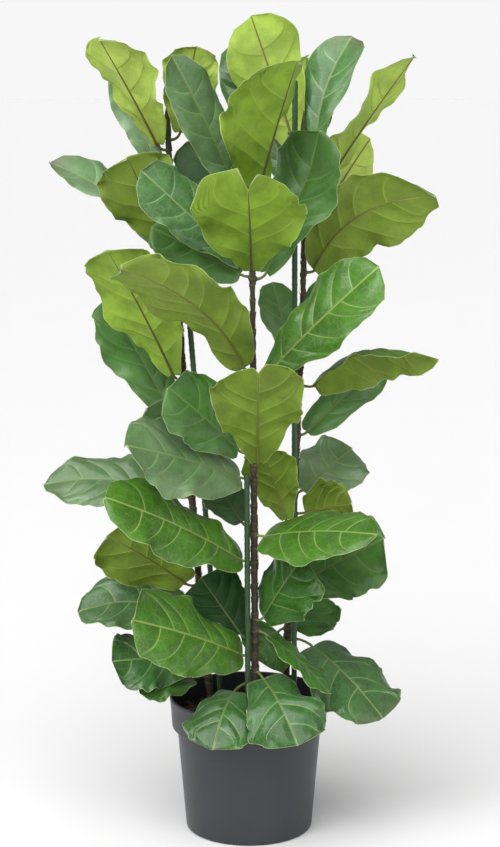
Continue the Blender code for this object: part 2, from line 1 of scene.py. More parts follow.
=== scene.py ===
"""Looks of a potted fiddle leaf fig: veined waved leaves, scarred stems, coated stakes, soil and pot.

Metres, +Z up, the origin at the middle of the pot's underside. The viewer stands on the -Y side. The
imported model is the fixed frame: every leaf is laid out by the rule that its solid was made by, and
turned as that solid is.
"""
import logging
import math
from dataclasses import dataclass, field, replace
from enum import Enum, IntEnum
from functools import cached_property
from typing import Iterable, Optional

import bpy
import numpy as np
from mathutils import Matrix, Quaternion, Vector


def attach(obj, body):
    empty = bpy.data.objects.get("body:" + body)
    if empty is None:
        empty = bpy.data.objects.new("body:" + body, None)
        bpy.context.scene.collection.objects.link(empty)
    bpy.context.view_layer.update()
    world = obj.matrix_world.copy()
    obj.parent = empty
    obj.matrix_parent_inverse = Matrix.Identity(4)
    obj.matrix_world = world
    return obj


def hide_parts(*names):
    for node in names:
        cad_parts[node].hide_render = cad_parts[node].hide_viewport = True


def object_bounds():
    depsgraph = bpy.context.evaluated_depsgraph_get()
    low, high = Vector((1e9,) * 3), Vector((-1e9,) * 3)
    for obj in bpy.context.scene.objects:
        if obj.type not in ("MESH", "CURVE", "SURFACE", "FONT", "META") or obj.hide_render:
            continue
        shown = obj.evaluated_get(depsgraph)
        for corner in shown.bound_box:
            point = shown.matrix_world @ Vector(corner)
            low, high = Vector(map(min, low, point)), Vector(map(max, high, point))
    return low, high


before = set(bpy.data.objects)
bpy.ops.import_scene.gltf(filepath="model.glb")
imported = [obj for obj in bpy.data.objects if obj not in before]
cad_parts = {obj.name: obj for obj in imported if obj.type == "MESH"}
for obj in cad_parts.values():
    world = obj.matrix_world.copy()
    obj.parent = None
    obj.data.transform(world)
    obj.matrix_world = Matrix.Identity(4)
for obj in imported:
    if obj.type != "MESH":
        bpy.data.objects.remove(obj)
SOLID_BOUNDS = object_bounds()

log = logging.getLogger("fiddle_leaf_fig")

Array = np.ndarray
Colour = tuple[float, float, float, float]
Point = tuple[float, float, float]

# --- sizes shared with the frame (metres) -----------------------------------------------------
POT_HEIGHT = 0.205
RIM_RADIUS = 0.120
RIM_DEPTH = 0.049
BODY_TOP_RADIUS = 0.1085
BASE_RADIUS = 0.0955
FLOOR_THICKNESS = 0.0035
WALL = 0.0020
DRAIN_HOLES = 6
DRAIN_RADIUS = 0.0055
DRAIN_RING = 0.060
SOIL_TOP = 0.180
SEAT_GAP = 0.0003
BLADE_THICKNESS = 0.0009
PETIOLE_RADIUS = 0.0021
LOBE = 0.0050
STEM_RADIUS_LOW = 0.0058
STEM_RADIUS_HIGH = 0.0036
STEM_FOOT = 0.110
STAKE_FOOT = 0.060
STAKE_RADIUS = 0.0043

# --- how a blade is waved, as in the frame (shares of its width) ------------------------------
SCALLOP = 0.045
RIPPLE = 0.055
DROOP = 0.10

# --- how leaves hang, as in the frame ---------------------------------------------------------
LEAST_TURN = 62.0  # degrees between a stalk and the stake beside its stem
SWINGS = range(-27, 28, 3)
LIFTS = range(-15, 16, 3)
TWISTS = (-30, -20, -10, 0, 10, 20, 30)
SAME_PLACE = 0.0002

# --- what the fine pieces add (the first two are shares of the width, the rest metres) --------
FRILL = 0.024
RAGGED = 0.045
PUCKER = 0.0023
FOLD_ROUNDING = 0.0025
RIM_HALF = 0.00022
VEIN_RAISED = 0.00075
VEIN_SUNK = 0.00035
MIDRIB_SUNK = 0.0005
FINE_START = 0.150  # height inside the soil at which the fine stems and stakes begin

SEED = 41


# --- small tools ------------------------------------------------------------------------------
def unit(vectors: Array) -> Array:
    """Scale vectors to length 1.

    Args:
        vectors: Vectors along the last axis.

    Returns:
        The same vectors, each of length 1.
    """
    return vectors / np.linalg.norm(vectors, axis=-1, keepdims=True)


def paint(code: str, strength: float = 1.0) -> Colour:
    """Turn a display colour into the linear one a shader takes.

    Args:
        code: Six hex digits, red, green and blue.
        strength: Factor on the linear values.

    Returns:
        Linear red, green, blue and an alpha of 1.
    """
    parts = [int(code[i:i + 2], 16) / 255.0 for i in (0, 2, 4)]
    linear = [c / 12.92 if c <= 0.04045 else ((c + 0.055) / 1.055) ** 2.4 for c in parts]
    return (linear[0] * strength, linear[1] * strength, linear[2] * strength, 1.0)


def smooth_table(table: list[tuple[float, float]], t: Array) -> Array:
    """Smooth curve through a table's points, with no overshoot between them.

    Args:
        table: Pairs of share and value, shares rising.
        t: Shares at which the curve is wanted.

    Returns:
        Values at t.
    """
    x, y = np.array(table).T
    step = np.diff(x)
    rise = np.diff(y) / step
    slope = np.zeros_like(y)
    same = rise[:-1] * rise[1:] > 0
    slope[1:-1] = np.where(same, 2 * rise[:-1] * rise[1:] / np.where(same, rise[:-1] + rise[1:], 1.0), 0.0)
    slope[0] = rise[0]
    slope[-1] = rise[-1]
    k = np.clip(np.searchsorted(x, t, side="right") - 1, 0, len(step) - 1)
    f = np.clip((t - x[k]) / step[k], 0.0, 1.0)
    h = step[k]
    return (y[k] * (1 + 2 * f) * (1 - f) ** 2 + slope[k] * h * f * (1 - f) ** 2
            + y[k + 1] * f * f * (3 - 2 * f) + slope[k + 1] * h * f * f * (f - 1))


def ease(value: Array, low: float, high: float) -> Array:
    """Share from 0 at low to 1 at high, smooth at both ends."""
    f = np.clip((value - low) / (high - low), 0.0, 1.0)
    return f * f * (3 - 2 * f)


def bell(distance: Array, reach: float) -> Array:
    """Share from 1 at no distance, falling off over reach on both sides."""
    return np.exp(-(distance / reach) ** 2)


def ring_angles(count: int) -> Array:
    """Angles of evenly spaced points round a ring."""
    return 2 * math.pi * np.arange(count) / count


def level_circle(angle: Array) -> Array:
    """Level vectors of length 1 at the angles."""
    return np.stack([np.cos(angle), np.sin(angle), np.zeros_like(angle)], axis=-1)


class Shell:
    """Collects patches of points and makes one mesh object of them."""

    def __init__(self) -> None:
        """Start with no points."""
        self.points: list[Array] = []
        self.faces: list[list[int]] = []
        self.finish: list[int] = []
        self.traits: dict[str, list[tuple[int, Array]]] = {}
        self.count = 0

    def patch(self, points: Array, finish: int = 0, wrap: bool = False, flip: bool = False,
              traits: Optional[dict[str, Array]] = None, split: bool = False) -> int:
        """Add a grid of points and the quads between them.

        Args:
            points: Rows by columns by 3.
            finish: Index of the material that the quads take.
            wrap: Whether the last column joins the first.
            flip: Whether the quads face the other way.
            traits: Values per point, rows by columns or rows by columns by 3.
            split: Whether the quads are halved, always along the same way, so that two skins keep apart.

        Returns:
            Index of the patch's first point.
        """
        rows, columns = points.shape[:2]
        first = self.count
        index = first + np.arange(rows * columns).reshape(rows, columns)
        if wrap:
            index = np.concatenate([index, index[:, :1]], axis=1)
        quads = np.stack([index[:-1, :-1], index[:-1, 1:], index[1:, 1:], index[1:, :-1]], axis=-1)
        quads = quads.reshape(-1, 4)
        if split:
            quads = np.concatenate([quads[:, :3], quads[:, [0, 2, 3]]])
        if flip:
            quads = quads[:, ::-1]
        self.points.append(points.reshape(-1, 3))
        self.faces += quads.tolist()
        self.finish += [int(finish)] * len(quads)
        for name, values in (traits or {}).items():
            width = (3,) if values.ndim == 3 else ()
            self.traits.setdefault(name, []).append((first, values.reshape(-1, *width)))
        self.count += rows * columns
        return first

    def cap(self, first: int, columns: int, finish: int = 0, flip: bool = False) -> None:
        """Close a ring of points with one face.

        Args:
            first: Index of the ring's first point.
            columns: Points in the ring.
            finish: Index of the material that the face takes.
            flip: Whether it faces the other way.
        """
        ring = list(range(first, first + columns))
        self.faces.append(ring[::-1] if flip else ring)
        self.finish.append(int(finish))

    def tube(self, rings: Array, finish: int = 0, traits: Optional[dict[str, Array]] = None) -> None:
        """Add a tube through rings of points, closed at both ends.

        Args:
            rings: Rings by points by 3.
            finish: Index of the material that its faces take.
            traits: Values per point, as for a patch.
        """
        count, columns = rings.shape[:2]
        first = self.patch(rings, finish, wrap=True, traits=traits)
        self.cap(first, columns, finish, flip=True)
        self.cap(first + (count - 1) * columns, columns, finish)

    def seam(self, one: Array, other: Array, finish: int = 0) -> None:
        """Join two runs of points with quads.

        Args:
            one: Indices of the first run's points.
            other: Indices of as many points of the second run.
            finish: Index of the material that the quads take.
        """
        for a, b, c, d in zip(one[:-1], one[1:], other[1:], other[:-1]):
            self.faces.append([int(a), int(b), int(c), int(d)])
            self.finish.append(int(finish))

    def object(self, name: str, materials: Iterable[bpy.types.Material]) -> bpy.types.Object:
        """Make the object, smooth shaded, with its traits as mesh attributes.

        Args:
            name: Name of the piece.
            materials: Its materials in the order of their indices.

        Returns:
            The new object, linked to the scene.
        """
        mesh = bpy.data.meshes.new(name)
        mesh.from_pydata(np.concatenate(self.points).tolist(), [], self.faces)
        for name_of, parts in self.traits.items():
            wide = parts[0][1].ndim == 2
            values = np.zeros((self.count, 3) if wide else self.count, np.float32)
            for first, part in parts:
                values[first:first + len(part)] = part
            kind = "FLOAT_VECTOR" if wide else "FLOAT"
            store = mesh.attributes.new(name_of, kind, "POINT")
            store.data.foreach_set("vector" if wide else "value", values.ravel())
        for material in materials:
            mesh.materials.append(material)
        mesh.polygons.foreach_set("material_index", self.finish)
        mesh.polygons.foreach_set("use_smooth", [True] * len(self.faces))
        mesh.update()
        obj = bpy.data.objects.new(name, mesh)
        bpy.context.scene.collection.objects.link(obj)
        return obj


def sweep(path: Array, radii: Array, sides: int) -> Array:
    """Rings of points round a path, carried along it without twist.

    Args:
        path: Points of the centre line.
        radii: Radius at each point, or at each point and side.
        sides: Points in a ring.

    Returns:
        Rows by sides by 3.
    """
    slope = unit(np.gradient(path, axis=0))
    level = np.cross(slope[0], [0.3, 0.2, 1.0] if abs(slope[0][2]) < 0.9 else [1.0, 0.0, 0.1])
    angle = ring_angles(sides)
    radii = np.broadcast_to(np.asarray(radii).reshape(len(path), -1), (len(path), sides))
    rings = []
    for centre, along, radius in zip(path, slope, radii):
        level = unit(level - along * np.dot(level, along))
        other = np.cross(along, level)
        ring = np.outer(radius * np.cos(angle), level) + np.outer(radius * np.sin(angle), other)
        rings.append(centre + ring)
    return np.array(rings)


def lathe(profile: Array, sides: int) -> Array:
    """Turn an outline round the Z axis.

    Args:
        profile: Radius and height pairs.
        sides: Points in a ring.

    Returns:
        Rows by sides by 3.
    """
    radius, height = np.asarray(profile).T
    rings = radius[:, None, None] * level_circle(ring_angles(sides))
    rings[..., 2] = height[:, None]
    return rings


def ripple_noise(points: Array, scale: float, seed: int) -> Array:
    """Smooth uneven values between about -1 and 1 over points, from a few crossed waves.

    Args:
        points: Points along the last axis.
        scale: Length of the waves in metres.
        seed: Number that sets their directions.

    Returns:
        One value for each point.
    """
    draw = np.random.default_rng(seed)
    total = np.zeros(points.shape[:-1])
    for _ in range(7):
        direction = unit(draw.normal(size=3)) * (2 * math.pi / scale) * draw.uniform(0.7, 1.6)
        total += np.sin(points @ direction + draw.uniform(0, 2 * math.pi))
    return total / 3.5


# --- finishes ---------------------------------------------------------------------------------
class Recipe:
    """Adds and wires the shader nodes of one material."""

    def __init__(self, name: str) -> None:
        """Start a material with a Principled shader.

        Args:
            name: Name of the material.
        """
        self.material = bpy.data.materials.new(name)
        self.material.use_nodes = True
        self.tree = self.material.node_tree
        self.shader = self.tree.nodes["Principled BSDF"]

    def node(self, kind: str, inputs: Optional[dict] = None, **settings: object) -> bpy.types.Node:
        """Add a node.

        Args:
            kind: Node type without its ShaderNode prefix.
            inputs: Socket values or sockets to link, by socket name or index.
            settings: Node properties.

        Returns:
            The node.
        """
        node = self.tree.nodes.new("ShaderNode" + kind)
        for key, value in settings.items():
            setattr(node, key, value)
        for key, value in (inputs or {}).items():
            self.feed(node.inputs[key], value)
        return node

    def feed(self, socket: bpy.types.NodeSocket, value: object) -> None:
        """Link a socket to another, or set its value.

        Args:
            socket: Input socket.
            value: Output socket or value that it takes.
        """
        if isinstance(value, bpy.types.NodeSocket):
            self.tree.links.new(value, socket)
        else:
            socket.default_value = value

    def trait(self, name: str, vector: bool = False) -> bpy.types.NodeSocket:
        """Mesh attribute of that name, as a number or a vector."""
        node = self.node("Attribute", attribute_name=name)
        return node.outputs["Vector" if vector else "Fac"]

    def place(self) -> bpy.types.NodeSocket:
        """Object coordinates in metres."""
        return self.node("TexCoord").outputs["Object"]

    def stretched(self, where: bpy.types.NodeSocket, factor: float) -> bpy.types.NodeSocket:
        """Coordinates scaled along Z: marks are drawn out below a factor of 1, and packed above it."""
        return self.node("Mapping", {"Vector": where, "Scale": (1.0, 1.0, factor)}).outputs[0]

    def noise(self, where: bpy.types.NodeSocket, scale: float, detail: float = 3.0,
              rough: float = 0.55) -> bpy.types.NodeSocket:
        """Cloudy values from 0 to 1."""
        node = self.node("TexNoise", {"Vector": where, "Scale": scale, "Detail": detail, "Roughness": rough})
        return node.outputs["Fac"]

    def net(self, where: bpy.types.NodeSocket, scale: float) -> bpy.types.NodeSocket:
        """Distance to the nearest line of an uneven net."""
        node = self.node("TexVoronoi", {"Vector": where, "Scale": scale}, feature="DISTANCE_TO_EDGE")
        return node.outputs["Distance"]

    def span(self, value: object, low: float, high: float, first: float = 0.0,
             last: float = 1.0) -> bpy.types.NodeSocket:
        """Carry a value smoothly from one range to another.

        Args:
            value: Socket or number.
            low: Value that gives first.
            high: Value that gives last.
            first: Result at low and below.
            last: Result at high and above.

        Returns:
            The result's socket.
        """
        node = self.node("MapRange", {"Value": value, "From Min": low, "From Max": high, "To Min": first,
                                      "To Max": last}, interpolation_type="SMOOTHSTEP")
        return node.outputs["Result"]

    def sum(self, operation: str, one: object, other: object = 0.0) -> bpy.types.NodeSocket:
        """Arithmetic on one or two numbers."""
        return self.node("Math", {0: one, 1: other}, operation=operation).outputs[0]

    def mix(self, share: object, one: object, other: object, blend: str = "MIX") -> bpy.types.NodeSocket:
        """Blend two colours.

        Args:
            share: Share of the second colour.
            one: First colour.
            other: Second colour.
            blend: Blend type.

        Returns:
            The blended colour's socket.
        """
        node = self.node("Mix", data_type="RGBA", blend_type=blend)
        self.feed(node.inputs["Factor"], share)
        self.feed(node.inputs[6], one)
        self.feed(node.inputs[7], other)
        return node.outputs[2]

    def bump(self, height: object, distance: float, strength: float = 1.0,
             under: Optional[bpy.types.NodeSocket] = None) -> bpy.types.NodeSocket:
        """Turn heights into relief.

        Args:
            height: Socket with heights from 0 to 1.
            distance: Metres that a height of 1 stands for.
            strength: Share of it that shows.
            under: Relief that it lies on.

        Returns:
            The relief's socket.
        """
        node = self.node("Bump", {"Height": height, "Distance": distance, "Strength": strength})
        if under is not None:
            self.feed(node.inputs["Normal"], under)
        return node.outputs["Normal"]

    def finish(self, **sockets: object) -> bpy.types.Material:
        """Set or link the Principled sockets.

        Args:
            sockets: Values or sockets by input name, with _ for a space.

        Returns:
            The finished material.
        """
        for name, value in sockets.items():
            self.feed(self.shader.inputs[name.replace("_", " ")], value)
        return self.material


class Tone(Enum):
    """How age and light have coloured a leaf.

    FRESH, LIME and OLIVE are the greens of its age. BRIGHT is grown green with painted light on it, GREY and
    BLUE are greens with a painted bluish sheen of glare, DEEP is the darker green of older leaves deepened by
    painted shade, and SHADE is painted shade for leaves in shadow.
    """

    FRESH = "fresh"
    LIME = "lime"
    OLIVE = "olive"
    BRIGHT = "bright"
    BLUE = "blue"
    GREY = "grey"
    DEEP = "deep"
    SHADE = "shade"


class Skin(IntEnum):
    """Parts of a leaf, in the order of its materials."""

    UPPER = 0
    UNDER = 1
    STALK = 2


@dataclass(frozen=True)
class LeafFinish:
    """Colours and polish of one tone of leaf."""

    upper: str
    under: str
    upper_vein: str
    under_vein: str
    midrib: str
    roughness: float = 0.42
    coat: float = 0.25
    shine: float = 0.36
    # Pale colour of a painted sheen, blended in where a leaf is given painted light.
    painted_sheen: str = "93b487"
    mottle: float = 0.24
    # Dark colour of painted shade, blended in where a leaf is given painted shade.
    shade: str = "0c2008"
    margin: str = "b9c98a"
    dried: tuple[str, str] = ("4f4230", "8d8064")
    fleck: str = "6d6a4a"
    under_rougher: float = 0.16
    net_sunk: float = -0.00018
    net_raised: float = 0.00022

    def flesh(self, r: Recipe, blade: bpy.types.NodeSocket, cloud: bpy.types.NodeSocket, body: str,
              vein: str) -> bpy.types.NodeSocket:
        """Mottled skin with fine pale specks, lightened by a painted sheen or darkened by painted shade.

        Args:
            r: Material under way.
            blade: Place on the blade.
            cloud: Uneven values over it.
            body: Colour of the skin.
            vein: Colour of the specks.

        Returns:
            The colour's socket.
        """
        # Share of painted light on the leaf: above 0 it brings in a painted sheen, below 0 painted shade.
        painted_light = r.trait("painted_light")
        skin = r.mix(r.span(cloud, 0.35, 0.7), paint(body, 1.0 - self.mottle), paint(body, 1.0 + self.mottle))
        # Painted sheen: the pale sheen colour in uneven patches, as much as the painted light asks.
        sheen_share = r.span(r.noise(blade, 14.0, 3.0, 0.6), 0.3, 0.7, 0.3, 1.0)
        sheen_share = r.sum("MULTIPLY", r.span(painted_light, 0.0, 1.0, 0.0, 0.42), sheen_share)
        skin = r.mix(sheen_share, skin, paint(self.painted_sheen))
        # Painted shade: darker towards the shade colour where the painted light is below 0.
        skin = r.mix(r.span(painted_light, -1.0, 0.0, 0.5, 0.0), skin, paint(self.shade))
        speckle = r.noise(blade, 620.0, 2.0, 0.5)
        return r.mix(r.span(speckle, 0.55, 0.75, 0.0, 0.16), skin, paint(vein))

    def veined(self, r: Recipe, skin: bpy.types.NodeSocket, net: bpy.types.NodeSocket,
               vein: str) -> bpy.types.NodeSocket:
        """Skin with its net, side veins, midrib and pale margin.

        Args:
            r: Material under way.
            skin: Colour of the skin.
            net: How strongly the net shows.
            vein: Colour of the veins.

        Returns:
            The colour's socket.
        """
        rib, mid, rim = (r.trait(name) for name in ("rib", "mid", "rim"))
        side_vein = r.sum("MULTIPLY", r.span(rib, 0.0002, 0.0010, 0.75, 0.0),
                          r.span(rim, 0.001, 0.026, 0.1, 1.0))
        glow = r.span(rib, 0.0, 0.004, 0.12, 0.0)
        midrib = r.span(mid, 0.0007, 0.0019, 0.95, 0.0)
        for share in (r.sum("MULTIPLY", net, 0.26), glow, side_vein, midrib):
            skin = r.mix(share, skin, paint(vein))
        return r.mix(r.span(rim, 0.0002, 0.0011, 0.65, 0.0), skin, paint(self.margin))

    def side(self, name: str, body: str, vein: str, polish: float, coat: float,
             relief: float) -> bpy.types.Material:
        """Waxy leaf skin with its veins, net, pale margin and dried parts.

        Args:
            name: Name of the material.
            body: Colour of the skin.
            vein: Colour of the veins.
            polish: Roughness of the skin.
            coat: Weight of the wax on it.
            relief: Height of the net in metres, sunk if below zero.

        Returns:
            The material.
        """
        r = Recipe(name)
        blade = r.trait("blade", vector=True)
        cloud = r.noise(blade, 22.0, 4.0, 0.6)
        wide_net = r.net(blade, 75.0)
        fine_net = r.net(blade, 260.0)
        net = r.sum("ADD", r.span(wide_net, 0.0, 0.08, 0.5, 0.0), r.span(fine_net, 0.0, 0.08, 0.3, 0.0))
        skin = self.veined(r, self.flesh(r, blade, cloud, body, vein), net, vein)
        patch = r.sum("MULTIPLY", r.trait("dry"), r.span(r.noise(blade, 90.0, 3.0, 0.6), 0.30, 0.48))
        skin = r.mix(patch, skin, r.mix(cloud, *(paint(code) for code in self.dried)))
        net_relief = r.bump(r.span(wide_net, 0.0, 0.12, 1.0, 0.0), relief, 0.7)
        grain = r.bump(r.noise(blade, 1500.0, 2.0, 0.6), 0.00006, 0.5, net_relief)
        dusty = r.span(r.noise(blade, 45.0, 3.0, 0.6), 0.3, 0.7, polish - 0.05, polish + 0.08)
        return r.finish(Base_Color=skin, Roughness=dusty, Normal=grain, Coat_Weight=coat, Coat_Roughness=0.22,
                        Specular_IOR_Level=self.shine)

    def stalk(self, name: str) -> bpy.types.Material:
        """Ridged stalk and midrib, paler towards the tip.

        Args:
            name: Name of the material.

        Returns:
            The material.
        """
        r = Recipe(name)
        blade = r.trait("blade", vector=True)
        cloud = r.noise(blade, 160.0, 3.0, 0.6)
        skin = r.mix(cloud, paint(self.midrib, 0.72), paint(self.midrib, 1.2))
        skin = r.mix(r.span(r.noise(blade, 900.0, 2.0), 0.58, 0.72, 0.0, 0.5), skin, paint(self.fleck))
        grain = r.bump(r.noise(blade, 1100.0, 2.0), 0.0001, 0.6)
        return r.finish(Base_Color=skin, Roughness=r.span(cloud, 0.2, 0.8, 0.45, 0.6), Normal=grain)

    def materials(self, tone: Tone) -> list[bpy.types.Material]:
        """Upper skin, under skin and stalk, made once for a tone.

        Args:
            tone: The tone that they are named for.

        Returns:
            The three materials in the order of a leaf's patches.
        """
        names = ["leaf_%s_%s" % (tone.value, part) for part in ("upper", "under", "stalk")]
        if names[0] not in bpy.data.materials:
            self.side(names[0], self.upper, self.upper_vein, self.roughness, self.coat, self.net_sunk)
            self.side(names[1], self.under, self.under_vein, self.roughness + self.under_rougher, 0.0,
                      self.net_raised)
            self.stalk(names[2])
        return [bpy.data.materials[name] for name in names]


# Undersides are paler in their own right and lightened further as painted light shining through the leaf.
# BRIGHT holds painted light, GREY and BLUE a painted bluish sheen, DEEP and SHADE painted shade.
FINISHES = {
    Tone.FRESH: LeafFinish("6a9a24", "98b444", "b0c864", "7c8c28", "6c6028", 0.46, 0.05, painted_sheen="dcea7a"),
    Tone.LIME: LeafFinish("4f8a1c", "7a9c28", "94b452", "94ac44", "5c5424", 0.46, 0.05, painted_sheen="c4d86a"),
    Tone.OLIVE: LeafFinish("3a6a1c", "647f1c", "86a64c", "8aa040", "6c7030", 0.44, 0.1, painted_sheen="a8bc58"),
    Tone.BRIGHT: LeafFinish("447320", "4c7414", "98b864", "8aa244", "86984a", 0.33, 0.25),
    Tone.BLUE: LeafFinish("517e42", "5f8034", "9abc84", "8ca258", "80904e", 0.33, 0.35, painted_sheen="b8ceb0"),
    Tone.GREY: LeafFinish("396530", "416024", "86a468", "748c48", "6c7e42", 0.32, 0.35, painted_sheen="a6b890"),
    Tone.DEEP: LeafFinish("34681a", "345418", "6c9450", "68843c", "66763c", 0.36, 0.15, painted_sheen="98b480"),
    Tone.SHADE: LeafFinish("1a3c17", "26400f", "34502a", "506a30", "4e5c30", 0.48, 0.0, 0.14),
}

# --- outline of a blade -----------------------------------------------------------------------
# Share of the length, and of the half width. A fiddle leaf has a narrow waist low down and is
# broadest high up; an oval one is broadest in the middle and drawn out to its tip; a wedge widens
# steadily from its stalk.
FIDDLE = [(0.0, 0.16), (0.05, 0.42), (0.15, 0.56), (0.30, 0.66), (0.46, 0.81), (0.62, 0.96), (0.76, 0.99),
          (0.88, 0.83), (0.96, 0.52), (1.0, 0.14)]
OVAL = [(0.0, 0.24), (0.05, 0.54), (0.15, 0.76), (0.30, 0.93), (0.46, 1.0), (0.62, 0.94), (0.76, 0.78),
        (0.88, 0.53), (0.96, 0.27), (1.0, 0.06)]
WEDGE = [(0.0, 0.10), (0.05, 0.20), (0.15, 0.38), (0.30, 0.62), (0.46, 0.85), (0.62, 0.98), (0.76, 1.0),
         (0.88, 0.86), (0.96, 0.56), (1.0, 0.18)]
CLOSED_BASE = [(0.0, 0.10)]
# Shares across half a blade at which its fine mesh has points: close at the midrib and the margin.
ACROSS = np.array([0.0, 0.012, 0.032, 0.07, 0.13, 0.21, 0.30, 0.40, 0.50, 0.60, 0.70, 0.79, 0.87, 0.935,
                   0.98, 1.0])


@dataclass(frozen=True)
class Stem:
    """Path of one stem, through four points from its foot to its growing tip."""

    points: tuple[Point, ...]

    def at(self, z: float) -> Array:
        """Find a point of the stem.

        Args:
            z: Its height.

        Returns:
            The point.
        """
        xy = np.zeros(2)
        for i, p in enumerate(self.points):
            share = 1.0
            for j, q in enumerate(self.points):
                if i != j:
                    share *= (z - q[2]) / (p[2] - q[2])
            xy += np.array(p[:2]) * share
        return np.array([xy[0], xy[1], z])

    @property
    def top(self) -> float:
        """Height of the growing tip."""
        return self.points[-1][2]

    def radius(self, z: float) -> float:
        """Radius at height z: it thins towards the growing tip."""
        share = (z - STEM_FOOT) / (self.top - STEM_FOOT)
        return STEM_RADIUS_LOW + (STEM_RADIUS_HIGH - STEM_RADIUS_LOW) * share


@dataclass(frozen=True)
class Stake:
    """Straight stake from its foot in the soil to its top."""

    foot: Point
    top: Point

    def at(self, z: float) -> Array:
        """Find a point of the stake.

        Args:
            z: Its height.

        Returns:
            The point.
        """
        a = np.array(self.foot)
        b = np.array(self.top)
        return a + (b - a) * ((z - a[2]) / (b[2] - a[2]))


STEMS = {
    "front": Stem(((0.010, -0.041, STEM_FOOT), (0.008, -0.039, 0.400), (0.006, -0.034, 0.700),
                   (0.004, -0.025, 0.985))),
    "right": Stem(((0.054, 0.030, STEM_FOOT), (0.064, 0.034, 0.420), (0.078, 0.035, 0.750),
                   (0.080, 0.031, 1.050))),
    "left": Stem(((-0.050, 0.040, STEM_FOOT), (-0.080, 0.044, 0.420), (-0.101, 0.048, 0.740),
                  (-0.120, 0.050, 1.060))),
}
STAKES = {
    "front": Stake((-0.001, -0.056, STAKE_FOOT), (-0.003, -0.052, 0.556)),
    "right": Stake((0.069, 0.015, STAKE_FOOT), (0.0665, 0.018, 1.122)),
    "left": Stake((-0.033, 0.030, STAKE_FOOT), (-0.098, 0.029, 0.900)),
}


@dataclass(frozen=True)
class Axes:
    """Fixed points and directions that a leaf is laid out from."""

    root: Array
    out: Array
    start: Array
    tip: Array
    side: Array
    face: Array
    length: float


